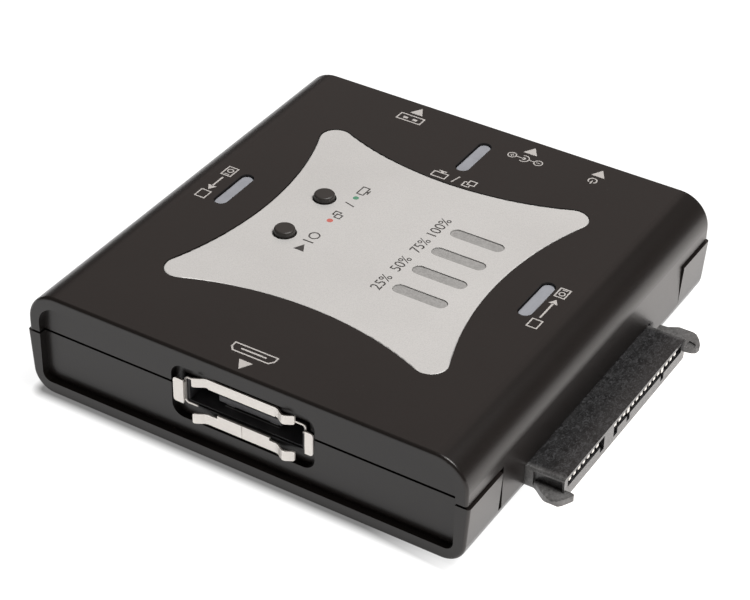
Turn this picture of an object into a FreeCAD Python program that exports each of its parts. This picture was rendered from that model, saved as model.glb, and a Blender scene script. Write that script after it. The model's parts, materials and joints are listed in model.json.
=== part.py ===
import FreeCAD, Part
import math, os, re
import Sketcher
from FreeCAD import Vector, Placement, Rotation

# Stand-alone drive duplicator: a flat moulded box with a drive socket on its
# left and right sides, an eSATA socket in front, and USB, power inlet and
# power switch at the back.
# Frame: X across the front (left to right), Y from front to back, Z up.
# Origin: middle of the footprint, on the plane the rubber feet stand on.
# "zb" is the underside of the moulded case; case heights are counted from it.

os.makedirs("parts", exist_ok=True)
doc = FreeCAD.newDocument("drive_duplicator")

# ------------------------------------------------------------------ sheet
sheet = doc.addObject("Spreadsheet::Sheet", "dims")
CELLS = [
    # case
    ("foot_standoff", 0.4, "gap between the table and the case"),
    ("upper_width", 66.8, "X size of the upper shell"),
    ("lower_width", 67.5, "X size of the lower shell at its top edge"),
    ("lower_foot_width", 66.3, "X size of the lower shell near the bottom"),
    ("case_depth", 68.5, "Y size of both shells"),
    ("case_height", 16.2, "height of the case without feet"),
    ("part_line", 9.6, "height of the parting line"),
    ("part_gap", 0.36, "visible gap at the parting line"),
    ("top_round", 4.7, "radius of the long top edges"),
    ("low_round", 3.3, "radius of the long bottom edges"),
    ("face_round", 0.45, "radius round the front and back rims"),
    ("inner_halfwidth", 31.9, "half the clear width inside"),
    ("inner_halfdepth", 31.65, "half the clear depth inside"),
    ("skin", 1.5, "wall of floor and roof"),
    # sunk end faces
    ("sunk_depth", 1.1, "how far each end face lies behind its rim"),
    ("sunk_half", 31.7, "half width of the sunk face"),
    ("sunk_low", 1.9, "height of the sunk face's lower edge"),
    ("sunk_top", 14.3, "height of the sunk face's upper edge"),
    ("sunk_top_round", 3.0, "corner radius, upper corners"),
    ("sunk_low_round", 1.3, "corner radius, lower corners"),
    # side aprons of the upper shell
    ("apron_near", -25.1, "front end of the right apron"),
    ("apron_far", 25.9, "back end of the right apron"),
    ("apron_low", 3.1, "lower edge of the aprons"),
    ("seam", 0.08, "gap below the aprons"),
    ("seam_end", 0.7, "gap at the near end of the right apron"),
    ("seam_far", 0.14, "gap at its far end"),
    # drive sockets
    ("sock_mid", -1.3, "Y of the middle of the right socket"),
    ("sock_half", 17.6, "half length of the socket housing"),
    ("sock_root", 27.5, "X where the housing starts under the board"),
    ("sock_step", 31.5, "X where the housing leaves the board edge"),
    ("sock_face", 38.95, "X of the socket mouth"),
    ("sock_low", 2.2, "underside of the housing"),
    ("sock_top", 5.6, "top of the housing"),
    ("slot_low", 3.9, "underside of the blade slot"),
    ("slot_high", 5.15, "top of the blade slot"),
    ("key_low", 3.05, "foot of the L-shaped key slots"),
    ("slot_depth", 6.2, "depth of the blade slots"),
    ("sig_near", -18.0, "front end of the signal slot"),
    ("sig_far", -7.85, "back end of the signal slot"),
    ("pow_near", -5.1, "front end of the power slot"),
    ("pow_far", 15.1, "back end of the power slot"),
    ("key_wide", 1.1, "width of the key slots"),
    ("pin_first", -17.36, "Y of contact S1"),
    ("pin_pitch", 1.27, "contact pitch"),
    ("pin_wide", 0.62, "contact width"),
    ("pin_thick", 0.15, "contact thickness"),
    ("ear_low", 3.35, "underside of the guide ears"),
    ("ear_front_low", 2.55, "underside of the front ear"),
    ("ear_front_top", 3.5, "height of the front ear"),
    ("ear_top", 4.2, "top of the guide ears"),
    ("ear_tip", 40.75, "X of the ear tips"),
    # board
    ("pcb_low", 4.9, "underside of the board"),
    ("pcb_top", 6.5, "top of the board"),
    ("pcb_halfx", 31.2, "half width of the board"),
    ("pcb_halfy", 31.0, "half depth of the board"),
    ("boss_x", 27.9, "X of the screw bosses"),
    ("boss_y", 27.9, "Y of the screw bosses"),
    ("boss_rad", 2.7, "radius of the screw bosses"),
    # feet and screws
    ("foot_rad", 4.0, "radius of the feet"),
    ("foot_x", 19.0, "X of the feet"),
    ("foot_y", 26.5, "Y of the feet"),
    ("foot_seat", 0.6, "depth of the foot seats"),
    ("screw_rad", 0.95, "screw shank radius"),
    ("screw_head", 2.1, "screw head radius"),
    # plate
    ("plate_lobe_x", 19.2, "X of the plate's lobe centres"),
    ("plate_lobe_y", 19.15, "Y of the plate's lobe centres"),
    ("plate_lobe_rad", 2.4, "radius of the lobes"),
    ("plate_side_rad", 49.9, "radius of the left and right edges"),
    ("plate_end_rad", 46.2, "radius of the front and back edges"),
    ("plate_top", 16.12, "height of the plate's face"),
    ("plate_thick", 0.6, "plate thickness"),
    ("plate_gap", 0.06, "gap round the plate"),
    # windows and buttons
    ("lens_long", 8.4, "length of the lamp windows"),
    ("lens_wide", 2.1, "width of the lamp windows"),
    ("lens_side_x", 24.0, "X of the source and destination windows"),
    ("lens_mode_y", 25.6, "Y of the mode window"),
    ("lens_gap", 0.08, "gap round the windows"),
    ("lens_top", 15.92, "height of the lamp windows' faces"),
    ("bar_x", 10.8, "X of the progress windows"),
    ("bar_pitch", 5.07, "pitch of the progress windows"),
    ("bar_long", 8.2, "length of the progress windows"),
    ("bar_wide", 2.0, "width of the progress windows"),
    ("bar_top", 15.98, "height of the progress windows' faces"),
    ("button_x", -12.2, "X of the buttons"),
    ("start_y", -4.95, "Y of the start button"),
    ("mode_y", 5.1, "Y of the mode button"),
    ("button_rad", 1.48, "radius of the button caps"),
    ("button_hole", 1.7, "radius of the button holes"),
    ("button_top", 16.95, "height of the button caps"),
    # eSATA socket
    ("es_half", 9.35, "half width of the shield"),
    ("es_low", 6.6, "underside of the shield"),
    ("es_top", 10.9, "top of the shield"),
    ("es_sheet", 0.25, "shield sheet"),
    ("es_front", -32.7, "Y of the shield's mouth"),
    ("es_back", -19.6, "Y of the shield's rear edge"),
    ("es_open_left", 11.1, "reach of the opening in the case to the left"),
    ("es_open_right", 10.85, "and to the right"),
    ("es_open_low", 4.35, "lower edge of that opening"),
    ("es_open_top", 12.65, "upper edge of that opening"),
    ("es_open_deep", 0.95, "depth of the outer step of that opening"),
    # back connectors
    ("usb_x", -12.9, "X of the USB socket"),
    ("usb_half", 3.85, "half width of its shell"),
    ("usb_high", 3.95, "height of its shell"),
    ("jack_x", 6.3, "X of the power inlet"),
    ("jack_z", 10.35, "height of the inlet's axis"),
    ("jack_bore", 3.0, "radius of the inlet's bore"),
    ("jack_deep", 9.5, "depth of the inlet's bore"),
    ("jack_ring", 3.8, "radius of the inlet's round face"),
    ("jack_pin", 1.0, "radius of the inlet's centre pin"),
    ("switch_x", 17.1, "X of the power switch"),
    ("switch_z", 8.25, "height of the power switch knob"),
    ("switch_travel", 2.0, "travel of the power switch knob"),
]
for i, (alias, value, note) in enumerate(CELLS, start=1):
    sheet.set("A%d" % i, note)
    sheet.set("B%d" % i, repr(value))
    sheet.setAlias("B%d" % i, alias)
doc.recompute()

NAMES = {a for a, v, n in CELLS}
VALS = {a: float(sheet.get(a)) for a in NAMES}
ZB = VALS["foot_standoff"]


def X(e):
    """Expression text with sheet aliases written as dims.alias."""
    e = str(e)
    return re.sub(r"[a-z_][a-z_0-9]*", lambda m: "dims." + m.group(0) if m.group(0) in NAMES else m.group(0), e)


def val(e):
    """Value of such an expression: sums, differences, products, quotients."""
    toks = re.findall(r"\d+\.?\d*|[a-z_][a-z_0-9]*|[-+*/()]", str(e))
    pos = [0]

    def atom():
        t = toks[pos[0]]; pos[0] += 1
        if t == "(":
            v = summ(); pos[0] += 1
            return v
        if t == "-":
            return -atom()
        if t == "+":
            return atom()
        return VALS[t] if t in VALS else float(t)

    def prod():
        v = atom()
        while pos[0] < len(toks) and toks[pos[0]] in "*/":
            o = toks[pos[0]]; pos[0] += 1
            w = atom()
            v = v * w if o == "*" else v / w
        return v

    def summ():
        v = prod()
        while pos[0] < len(toks) and toks[pos[0]] in "+-":
            o = toks[pos[0]]; pos[0] += 1
            w = prod()
            v = v + w if o == "+" else v - w
        return v
    return summ()


def Z(e):
    """Height counted from the underside of the case."""
    return "foot_standoff + (%s)" % e


NODES = []


def node(obj, label):
    obj.Label = label
    NODES.append((label, obj))
    return obj


# -------------------------------------------------------- Part primitives
def place(o, x, y, z):
    o.setExpression("Placement.Base.x", X(x))
    o.setExpression("Placement.Base.y", X(y))
    o.setExpression("Placement.Base.z", X(z))


def box(name, x0, x1, y0, y1, z0, z1):
    """Box between pairs of planes; heights from the underside of the case."""
    o = doc.addObject("Part::Box", name)
    o.setExpression("Length", X("(%s) - (%s)" % (x1, x0)))
    o.setExpression("Width", X("(%s) - (%s)" % (y1, y0)))
    o.setExpression("Height", X("(%s) - (%s)" % (z1, z0)))
    place(o, x0, y0, Z(z0))
    return o


def cyl(name, r, x, y, z0, z1):
    """Upright cylinder."""
    o = doc.addObject("Part::Cylinder", name)
    o.setExpression("Radius", X(r))
    o.setExpression("Height", X("(%s) - (%s)" % (z1, z0)))
    place(o, x, y, Z(z0))
    return o


def cyl_y(name, r, x, y0, y1, z):
    """Cylinder lying along Y."""
    o = doc.addObject("Part::Cylinder", name)
    o.setExpression("Radius", X(r))
    o.setExpression("Height", X("(%s) - (%s)" % (y1, y0)))
    o.Placement = Placement(Vector(0, 0, 0), Rotation(Vector(1, 0, 0), -90))
    place(o, x, y0, Z(z))
    return o


def fuse(name, *objs):
    o = doc.addObject("Part::MultiFuse", name)
    o.Shapes = list(objs)
    o.Refine = True
    return o


def cut(name, base, *tools):
    tool = tools[0] if len(tools) == 1 else fuse(name + "_tools", *tools)
    o = doc.addObject("Part::Cut", name)
    o.Base = base
    o.Tool = tool
    o.Refine = True
    doc.recompute()
    if not o.Shape.Volume < base.Shape.Volume - 1e-6:
        raise RuntimeError("nothing cut by " + name)
    return o


def group(name, *objs):
    o = doc.addObject("Part::Compound", name)
    o.Links = list(objs)
    return o


def round_edges(name, base, r, test):
    """Part::Fillet on the edges that the test picks."""
    doc.recompute()
    o = doc.addObject("Part::Fillet", name)
    o.Base = base
    picked = [(i + 1, r, r) for i, e in enumerate(base.Shape.Edges) if test(e)]
    if not picked:
        raise RuntimeError("no edge for " + name)
    o.Edges = picked
    doc.recompute()
    return o


def made(name, shape):
    """Part::Feature for shapes that are arrays or bent strips."""
    o = doc.addObject("Part::Feature", name)
    o.Shape = shape
    o.Placement = Placement()
    return o


def turned(name, obj):
    """The same piece turned half round the vertical axis."""
    doc.recompute()
    o = doc.addObject("Part::Feature", name)
    o.Shape = obj.Shape.copy()
    o.Placement = Placement(Vector(0, 0, 0), Rotation(Vector(0, 0, 1), 180))
    return o


def solid_box(x0, x1, y0, y1, z0, z1):
    return Part.makeBox(x1 - x0, y1 - y0, z1 - z0, Vector(x0, y0, z0 + ZB))


# ------------------------------------------------------------- PartDesign
def new_body(name):
    return doc.addObject("PartDesign::Body", name)


def origin_plane(body, role):
    for f in body.Origin.OriginFeatures:
        if f.Role == role:
            return f
    raise RuntimeError(role)


def sketch(body, name, role, offset):
    sk = body.newObject("Sketcher::SketchObject", name)
    sk.AttachmentSupport = [(origin_plane(body, role), "")]
    sk.MapMode = "FlatFace"
    sk.setExpression("AttachmentOffset.Base.z", X(offset))
    return sk


def at(sk, geo, pos, x, y):
    """Fix a point of the sketch by its two distances from the origin."""
    for kind, e in (("DistanceX", x), ("DistanceY", y)):
        v = val(e)
        if abs(v) < 1e-9:
            sk.addConstraint(Sketcher.Constraint("PointOnObject", geo, pos, -2 if kind == "DistanceX" else -1))
        else:
            n = sk.addConstraint(Sketcher.Constraint(kind, -1, 1, geo, pos, v))
            if X(e) != str(e):
                sk.setExpression("Constraints[%d]" % n, X(e))


def outline(sk, pts):
    """Closed polygon through points given as expressions."""
    vs = [Vector(val(x), val(y), 0) for x, y in pts]
    g0 = sk.GeometryCount
    n = len(vs)
    for i in range(n):
        sk.addGeometry(Part.LineSegment(vs[i], vs[(i + 1) % n]), False)
    for i in range(n):
        sk.addConstraint(Sketcher.Constraint("Coincident", g0 + i, 2, g0 + (i + 1) % n, 1))
    for i in range(n):
        at(sk, g0 + i, 1, *pts[i])


def rect(sk, x0, x1, y0, y1):
    outline(sk, [(x0, y0), (x1, y0), (x1, y1), (x0, y1)])


def round_rect(sk, x0, x1, y0, y1, low=None, high=None):
    """Rectangle whose lower and upper corners may be rounded."""
    g0 = sk.GeometryCount
    corners = [(x0, y0, 1, 1, low), (x1, y0, -1, 1, low), (x1, y1, -1, -1, high), (x0, y1, 1, -1, high)]
    ends = []
    for x, y, ix, iy, r in corners:
        cx, cy = val(x), val(y)
        rr = val(r) if r else 0.0
        # way in and way out, going round anticlockwise
        if (ix, iy) == (1, 1):
            a, b_ = (cx, cy + rr), (cx + rr, cy)
        elif (ix, iy) == (-1, 1):
            a, b_ = (cx - rr, cy), (cx, cy + rr)
        elif (ix, iy) == (-1, -1):
            a, b_ = (cx, cy - rr), (cx - rr, cy)
        else:
            a, b_ = (cx + rr, cy), (cx, cy - rr)
        ends.append((a, b_))
    arcs = []
    for k in range(4):
        x, y, ix, iy, r = corners[k]
        if r:
            rr = val(r)
            c = (val(x) + ix * rr, val(y) + iy * rr)
            a, b_ = ends[k]
            a0 = math.atan2(a[1] - c[1], a[0] - c[0])
            a1 = math.atan2(b_[1] - c[1], b_[0] - c[0])
            while a1 < a0:
                a1 += 2 * math.pi
            arcs.append(sk.addGeometry(Part.ArcOfCircle(Part.Circle(Vector(c[0], c[1], 0), Vector(0, 0, 1), rr), a0, a1), False))
        else:
            arcs.append(None)
    lines = []
    for k in range(4):
        p, q = ends[k][1], ends[(k + 1) % 4][0]
        lines.append(sk.addGeometry(Part.LineSegment(Vector(p[0], p[1], 0), Vector(q[0], q[1], 0)), False))
    for k in range(4):
        x, y, ix, iy, r = corners[k]
        before, after = lines[(k - 1) % 4], lines[k]
        if r:
            sk.addConstraint(Sketcher.Constraint("Tangent", before, 2, arcs[k], 1))
            sk.addConstraint(Sketcher.Constraint("Tangent", arcs[k], 2, after, 1))
            at(sk, arcs[k], 3, "(%s) %s (%s)" % (x, "+" if ix > 0 else "-", r), "(%s) %s (%s)" % (y, "+" if iy > 0 else "-", r))
            n = sk.addConstraint(Sketcher.Constraint("Radius", arcs[k], val(r)))
            if X(r) != str(r):
                sk.setExpression("Constraints[%d]" % n, X(r))
        else:
            sk.addConstraint(Sketcher.Constraint("Coincident", before, 2, after, 1))
            at(sk, after, 1, x, y)


def circle(sk, x, y, r):
    g = sk.addGeometry(Part.Circle(Vector(val(x), val(y), 0), Vector(0, 0, 1), val(r)), False)
    at(sk, g, 3, x, y)
    n = sk.addConstraint(Sketcher.Constraint("Radius", g, val(r)))
    if X(r) != str(r):
        sk.setExpression("Constraints[%d]" % n, X(r))


def pill(sk, x, y, long, wide, along_y):
    """Slot outline with round ends."""
    cx, cy, r, h = val(x), val(y), val(wide) / 2, (val(long) - val(wide)) / 2
    g0 = sk.GeometryCount
    half = "((%s) - (%s))/2" % (long, wide)
    if along_y:
        c = [(x, "(%s) + %s" % (y, half)), (x, "(%s) - %s" % (y, half))]
        a1 = Part.ArcOfCircle(Part.Circle(Vector(cx, cy + h, 0), Vector(0, 0, 1), r), 0, math.pi)
        l1 = Part.LineSegment(Vector(cx - r, cy + h, 0), Vector(cx - r, cy - h, 0))
        a2 = Part.ArcOfCircle(Part.Circle(Vector(cx, cy - h, 0), Vector(0, 0, 1), r), math.pi, 2 * math.pi)
        l2 = Part.LineSegment(Vector(cx + r, cy - h, 0), Vector(cx + r, cy + h, 0))
    else:
        c = [("(%s) + %s" % (x, half), y), ("(%s) - %s" % (x, half), y)]
        a1 = Part.ArcOfCircle(Part.Circle(Vector(cx + h, cy, 0), Vector(0, 0, 1), r), -math.pi / 2, math.pi / 2)
        l1 = Part.LineSegment(Vector(cx + h, cy + r, 0), Vector(cx - h, cy + r, 0))
        a2 = Part.ArcOfCircle(Part.Circle(Vector(cx - h, cy, 0), Vector(0, 0, 1), r), math.pi / 2, 3 * math.pi / 2)
        l2 = Part.LineSegment(Vector(cx - h, cy - r, 0), Vector(cx + h, cy - r, 0))
    for g in (a1, l1, a2, l2):
        sk.addGeometry(g, False)
    for i, j in ((0, 1), (1, 2), (2, 3), (3, 0)):
        sk.addConstraint(Sketcher.Constraint("Tangent", g0 + i, 2, g0 + j, 1))
    at(sk, g0, 3, *c[0])
    at(sk, g0 + 2, 3, *c[1])
    n = sk.addConstraint(Sketcher.Constraint("Radius", g0, r))
    sk.setExpression("Constraints[%d]" % n, X("(%s)/2" % wide))
    sk.addConstraint(Sketcher.Constraint("Equal", g0, g0 + 2))


def hourglass(sk, grow):
    """Plate outline: four round lobes joined by hollow arcs."""
    lx, ly = VALS["plate_lobe_x"], VALS["plate_lobe_y"]
    r = val("plate_lobe_rad + (%s)" % grow)
    rs = val("plate_side_rad - (%s)" % grow)
    re_ = val("plate_end_rad - (%s)" % grow)
    cs = lx + math.sqrt((rs + r) ** 2 - ly ** 2)      # centre distance, side arcs
    ce = ly + math.sqrt((re_ + r) ** 2 - lx ** 2)     # centre distance, end arcs
    lobes = [(lx, ly), (-lx, ly), (-lx, -ly), (lx, -ly)]
    centres = [(0, ce, re_), (-cs, 0, rs), (0, -ce, re_), (cs, 0, rs)]
    g0 = sk.GeometryCount

    def ang(c, p):
        return math.atan2(p[1] - c[1], p[0] - c[0])
    for k in range(4):
        lobe, nxt = lobes[k], lobes[(k + 1) % 4]
        prev_c, next_c = centres[(k - 1) % 4], centres[k]
        a0, a1 = ang(lobe, prev_c), ang(lobe, next_c)
        while a1 < a0:
            a1 += 2 * math.pi
        sk.addGeometry(Part.ArcOfCircle(Part.Circle(Vector(lobe[0], lobe[1], 0), Vector(0, 0, 1), r), a0, a1), False)
        b0, b1 = ang(next_c, nxt), ang(next_c, lobe)
        while b1 < b0:
            b1 += 2 * math.pi
        sk.addGeometry(Part.ArcOfCircle(Part.Circle(Vector(next_c[0], next_c[1], 0), Vector(0, 0, 1), next_c[2]), b0, b1), False)
    for k in range(4):
        lobe, arc, nlobe = g0 + 2 * k, g0 + 2 * k + 1, g0 + (2 * k + 2) % 8
        sk.addConstraint(Sketcher.Constraint("Tangent", lobe, 2, arc, 2))
        sk.addConstraint(Sketcher.Constraint("Tangent", arc, 1, nlobe, 1))
        sx, sy = (1, -1, -1, 1)[k], (1, 1, -1, -1)[k]
        at(sk, lobe, 3, "plate_lobe_x" if sx > 0 else "-plate_lobe_x", "plate_lobe_y" if sy > 0 else "-plate_lobe_y")
        n = sk.addConstraint(Sketcher.Constraint("Radius", lobe, r))
        sk.setExpression("Constraints[%d]" % n, X("plate_lobe_rad + (%s)" % grow))
        e = "plate_end_rad - (%s)" % grow if k % 2 == 0 else "plate_side_rad - (%s)" % grow
        n = sk.addConstraint(Sketcher.Constraint("Radius", arc, val(e)))
        sk.setExpression("Constraints[%d]" % n, X(e))


def pad(body, name, sk, length, back=False, first=False):
    doc.recompute()
    before = 0 if first else body.Shape.Volume
    f = body.newObject("PartDesign::Pad", name)
    f.Profile = sk
    f.setExpression("Length", X(length))
    f.Reversed = back
    body.Tip = f
    doc.recompute()
    if not f.Shape.Volume > before + 1e-6:
        raise RuntimeError("nothing added by " + name)
    return f


def pocket(body, name, sk, length, back=False):
    doc.recompute()
    before = body.Shape.Volume
    f = body.newObject("PartDesign::Pocket", name)
    f.Profile = sk
    f.setExpression("Length", X(length))
    f.Reversed = back
    body.Tip = f
    doc.recompute()
    if not f.Shape.Volume < before - 1e-6:
        raise RuntimeError("nothing cut by " + name)
    return f


def body_fillet(body, name, radius, test):
    doc.recompute()
    base = body.Tip
    picked = ["Edge%d" % (i + 1) for i, e in enumerate(base.Shape.Edges) if test(e)]
    if not picked:
        raise RuntimeError("no edge for " + name)
    f = body.newObject("PartDesign::Fillet", name)
    f.Base = (base, picked)
    f.setExpression("Radius", X(radius))
    body.Tip = f
    doc.recompute()
    if "Invalid" in f.State or "Error" in f.State or f.Shape.isNull():
        raise RuntimeError("fillet failed: " + name)
    return f


def lies(e, **lim):
    """True if an edge's box lies within the limits, heights from the case's underside."""
    b = e.BoundBox
    lo = {"x": b.XMin, "y": b.YMin, "z": b.ZMin - ZB}
    hi = {"x": b.XMax, "y": b.YMax, "z": b.ZMax - ZB}
    t = 0.02
    for k, (a, c) in lim.items():
        if lo[k] < a - t or hi[k] > c + t:
            return False
    return True


def runs(e, axis, least=0.5):
    b = e.BoundBox
    d = {"x": b.XLength, "y": b.YLength, "z": b.ZLength}
    return d[axis] > least and all(v < 0.05 for k, v in d.items() if k != axis)


HALF_D = val("case_depth/2")

# ============================================================ upper shell
b = new_body("UpperShell")
sk = sketch(b, "us_plan", "XY_Plane", Z("part_line + part_gap/2"))
rect(sk, "-upper_width/2", "upper_width/2", "-case_depth/2", "case_depth/2")
pad(b, "us_block", sk, "case_height - part_line - part_gap/2", first=True)
body_fillet(b, "us_long_edges", "top_round",
            lambda e: runs(e, "y", 60) and lies(e, z=(16.2, 16.2)))
body_fillet(b, "us_rim_edges", "face_round",
            lambda e: (lies(e, y=(-HALF_D, -HALF_D)) or lies(e, y=(HALF_D, HALF_D)))
            and e.BoundBox.ZMax - ZB > val("part_line + part_gap/2") + 0.1)
sk = sketch(b, "us_room", "XY_Plane", Z("part_line + part_gap/2"))
rect(sk, "-inner_halfwidth", "inner_halfwidth", "-inner_halfdepth", "inner_halfdepth")
pocket(b, "us_hollow", sk, "case_height - skin - part_line - part_gap/2", back=True)
body_fillet(b, "us_inner_edges", "top_round - skin",
            lambda e: runs(e, "y", 60) and lies(e, z=(14.7, 14.7)))
# side aprons that hang down round the drive sockets
sk = sketch(b, "us_apron_right", "XY_Plane", Z("part_line + part_gap/2"))
rect(sk, "inner_halfwidth", "upper_width/2", "apron_near", "apron_far")
pad(b, "us_apron_r", sk, "part_line + part_gap/2 - apron_low", back=True)
sk = sketch(b, "us_apron_left", "XY_Plane", Z("part_line + part_gap/2"))
rect(sk, "-upper_width/2", "-inner_halfwidth", "-apron_far", "-apron_near")
pad(b, "us_apron_l", sk, "part_line + part_gap/2 - apron_low", back=True)
# gaps in the aprons for the socket housings, open below
for side, s in (("right", 1), ("left", -1)):
    sk = sketch(b, "us_gate_" + side, "YZ_Plane", "%d*(upper_width/2 + 1)" % s)
    y0, y1 = "sock_mid - sock_half - 0.35", "sock_mid + sock_half + 0.35"
    if s < 0:
        y0, y1 = "-(%s)" % y1, "-(%s)" % y0
    rect(sk, y0, y1, Z("apron_low - 1"), Z("sock_top + 0.15"))
    pocket(b, "us_gate_cut_" + side, sk, "4", back=(s < 0))
# sunk front and back faces
for end, off, back in (("front", "case_depth/2", False), ("back", "-case_depth/2", True)):
    sk = sketch(b, "us_sunk_" + end, "XZ_Plane", off)
    round_rect(sk, "-sunk_half", "sunk_half", Z("part_line - 1"), Z("sunk_top"), high="sunk_top_round")
    pocket(b, "us_sunk_cut_" + end, sk, "sunk_depth", back=back)
# eSATA opening: shallow outer step, then the hole for the shield
sk = sketch(b, "us_es_step", "XZ_Plane", "case_depth/2")
round_rect(sk, "-es_open_left", "es_open_right", Z("part_line - 1"), Z("es_open_top"), high="1.8")
pocket(b, "us_es_step_cut", sk, "sunk_depth + es_open_deep")
sk = sketch(b, "us_es_hole", "XZ_Plane", "case_depth/2")
rect(sk, "-es_half - 0.2", "es_half + 0.2", Z("part_line - 1"), Z("es_top + 0.2"))
pocket(b, "us_es_hole_cut", sk, "4")
# back openings, upper halves
sk = sketch(b, "us_usb_hole", "XZ_Plane", "-case_depth/2")
rect(sk, "usb_x - usb_half - 0.35", "usb_x + usb_half + 0.35", Z("part_line - 1"), Z("pcb_top + usb_high + 0.35"))
pocket(b, "us_usb_cut", sk, "4", back=True)
sk = sketch(b, "us_jack_hole", "XZ_Plane", "-case_depth/2")
circle(sk, "jack_x", Z("jack_z"), "jack_ring + 0.15")
pocket(b, "us_jack_cut", sk, "4", back=True)
# seat for the silver plate
sk = sketch(b, "us_plate_seat", "XY_Plane", Z("case_height"))
hourglass(sk, "plate_gap")
pocket(b, "us_plate_cut", sk, "case_height - plate_top + plate_thick")
# lamp windows, progress windows and button holes through the roof
sk = sketch(b, "us_lamps", "XY_Plane", Z("case_height"))
pill(sk, "-lens_side_x", "0.1", "lens_long", "lens_wide", True)
pill(sk, "lens_side_x", "0.1", "lens_long", "lens_wide", True)
pill(sk, "0", "lens_mode_y", "lens_long", "lens_wide", True)
pocket(b, "us_lamp_cut", sk, "skin + 0.5")
sk = sketch(b, "us_bars", "XY_Plane", Z("case_height"))
for k in (-1.5, -0.5, 0.5, 1.5):
    pill(sk, "bar_x", "%g*bar_pitch" % k, "bar_long", "bar_wide", False)
pocket(b, "us_bar_cut", sk, "skin + 0.5")
sk = sketch(b, "us_buttons", "XY_Plane", Z("case_height"))
circle(sk, "button_x", "start_y", "button_hole + 0.05")
circle(sk, "button_x", "mode_y", "button_hole + 0.05")
pocket(b, "us_button_cut", sk, "skin + 0.5")
# screw bosses down to the board
sk = sketch(b, "us_bosses", "XY_Plane", Z("pcb_top"))
for sx in ("", "-"):
    for sy in ("", "-"):
        circle(sk, sx + "boss_x", sy + "boss_y", "boss_rad")
pad(b, "us_boss_pad", sk, "case_height - skin - pcb_top + 0.4")
sk = sketch(b, "us_pilots", "XY_Plane", Z("pcb_top"))
for sx in ("", "-"):
    for sy in ("", "-"):
        circle(sk, sx + "boss_x", sy + "boss_y", "screw_rad + 0.05")
pocket(b, "us_pilot_cut", sk, "5.5", back=True)
node(b, "upper_shell")

# ============================================================ lower shell
b = new_body("LowerShell")
sk = sketch(b, "ls_profile", "XZ_Plane", "-case_depth/2")
outline(sk, [("-lower_foot_width/2", Z("0")), ("lower_foot_width/2", Z("0")),
             ("lower_width/2", Z("part_line - part_gap/2")), ("-lower_width/2", Z("part_line - part_gap/2"))])
pad(b, "ls_block", sk, "case_depth", first=True)
body_fillet(b, "ls_long_edges", "low_round",
            lambda e: runs(e, "y", 60) and lies(e, z=(0, 0)))
body_fillet(b, "ls_rim_edges", "face_round",
            lambda e: (lies(e, y=(-HALF_D, -HALF_D)) or lies(e, y=(HALF_D, HALF_D)))
            and e.BoundBox.ZMin - ZB < val("part_line - part_gap/2") - 0.1)
sk = sketch(b, "ls_room", "XY_Plane", Z("part_line - part_gap/2"))
rect(sk, "-inner_halfwidth", "inner_halfwidth", "-inner_halfdepth", "inner_halfdepth")
pocket(b, "ls_hollow", sk, "part_line - part_gap/2 - skin")
body_fillet(b, "ls_inner_edges", "low_round - skin",
            lambda e: runs(e, "y", 60) and lies(e, z=(1.5, 1.5)))
# notches that take the aprons, and below them the socket gates
for side, s in (("right", 1), ("left", -1)):
    y0, y1 = "apron_near - seam_end", "apron_far + seam_far"
    g0, g1 = "sock_mid - sock_half - 0.35", "sock_mid + sock_half + 0.35"
    if s < 0:
        y0, y1 = "-(%s)" % y1, "-(%s)" % y0
        g0, g1 = "-(%s)" % g1, "-(%s)" % g0
    sk = sketch(b, "ls_notch_" + side, "YZ_Plane", "%d*(lower_width/2 + 1)" % s)
    rect(sk, y0, y1, Z("apron_low - seam"), Z("part_line + 1"))
    pocket(b, "ls_notch_cut_" + side, sk, "lower_width/2 + 1 - inner_halfwidth + 0.1", back=(s < 0))
    sk = sketch(b, "ls_gate_" + side, "YZ_Plane", "%d*(lower_width/2 + 1)" % s)
    rect(sk, g0, g1, Z("sock_low - 0.15"), Z("part_line + 1"))
    pocket(b, "ls_gate_cut_" + side, sk, "lower_width/2 + 1 - inner_halfwidth + 0.6", back=(s < 0))
for end, off, back in (("front", "case_depth/2", False), ("back", "-case_depth/2", True)):
    sk = sketch(b, "ls_sunk_" + end, "XZ_Plane", off)
    round_rect(sk, "-sunk_half", "sunk_half", Z("sunk_low"), Z("part_line + 1"), low="sunk_low_round")
    pocket(b, "ls_sunk_cut_" + end, sk, "sunk_depth", back=back)
sk = sketch(b, "ls_es_step", "XZ_Plane", "case_depth/2")
round_rect(sk, "-es_open_left", "es_open_right", Z("es_open_low"), Z("part_line + 1"), low="1.8")
pocket(b, "ls_es_step_cut", sk, "sunk_depth + es_open_deep")
sk = sketch(b, "ls_es_hole", "XZ_Plane", "case_depth/2")
rect(sk, "-es_half - 0.2", "es_half + 0.2", Z("es_low - 0.2"), Z("part_line + 1"))
pocket(b, "ls_es_hole_cut", sk, "4")
sk = sketch(b, "ls_usb_hole", "XZ_Plane", "-case_depth/2")
rect(sk, "usb_x - usb_half - 0.35", "usb_x + usb_half + 0.35", Z("pcb_top - 0.1"), Z("part_line + 1"))
pocket(b, "ls_usb_cut", sk, "4", back=True)
sk = sketch(b, "ls_jack_hole", "XZ_Plane", "-case_depth/2")
circle(sk, "jack_x", Z("jack_z"), "jack_ring + 0.15")
pocket(b, "ls_jack_cut", sk, "4", back=True)
sk = sketch(b, "ls_switch_slot", "XZ_Plane", "-case_depth/2")
rect(sk, "switch_x - switch_travel/2 - 1.25", "switch_x + switch_travel/2 + 1.25", Z("switch_z - 1.1"), Z("switch_z + 1.1"))
pocket(b, "ls_switch_cut", sk, "4", back=True)
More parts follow.
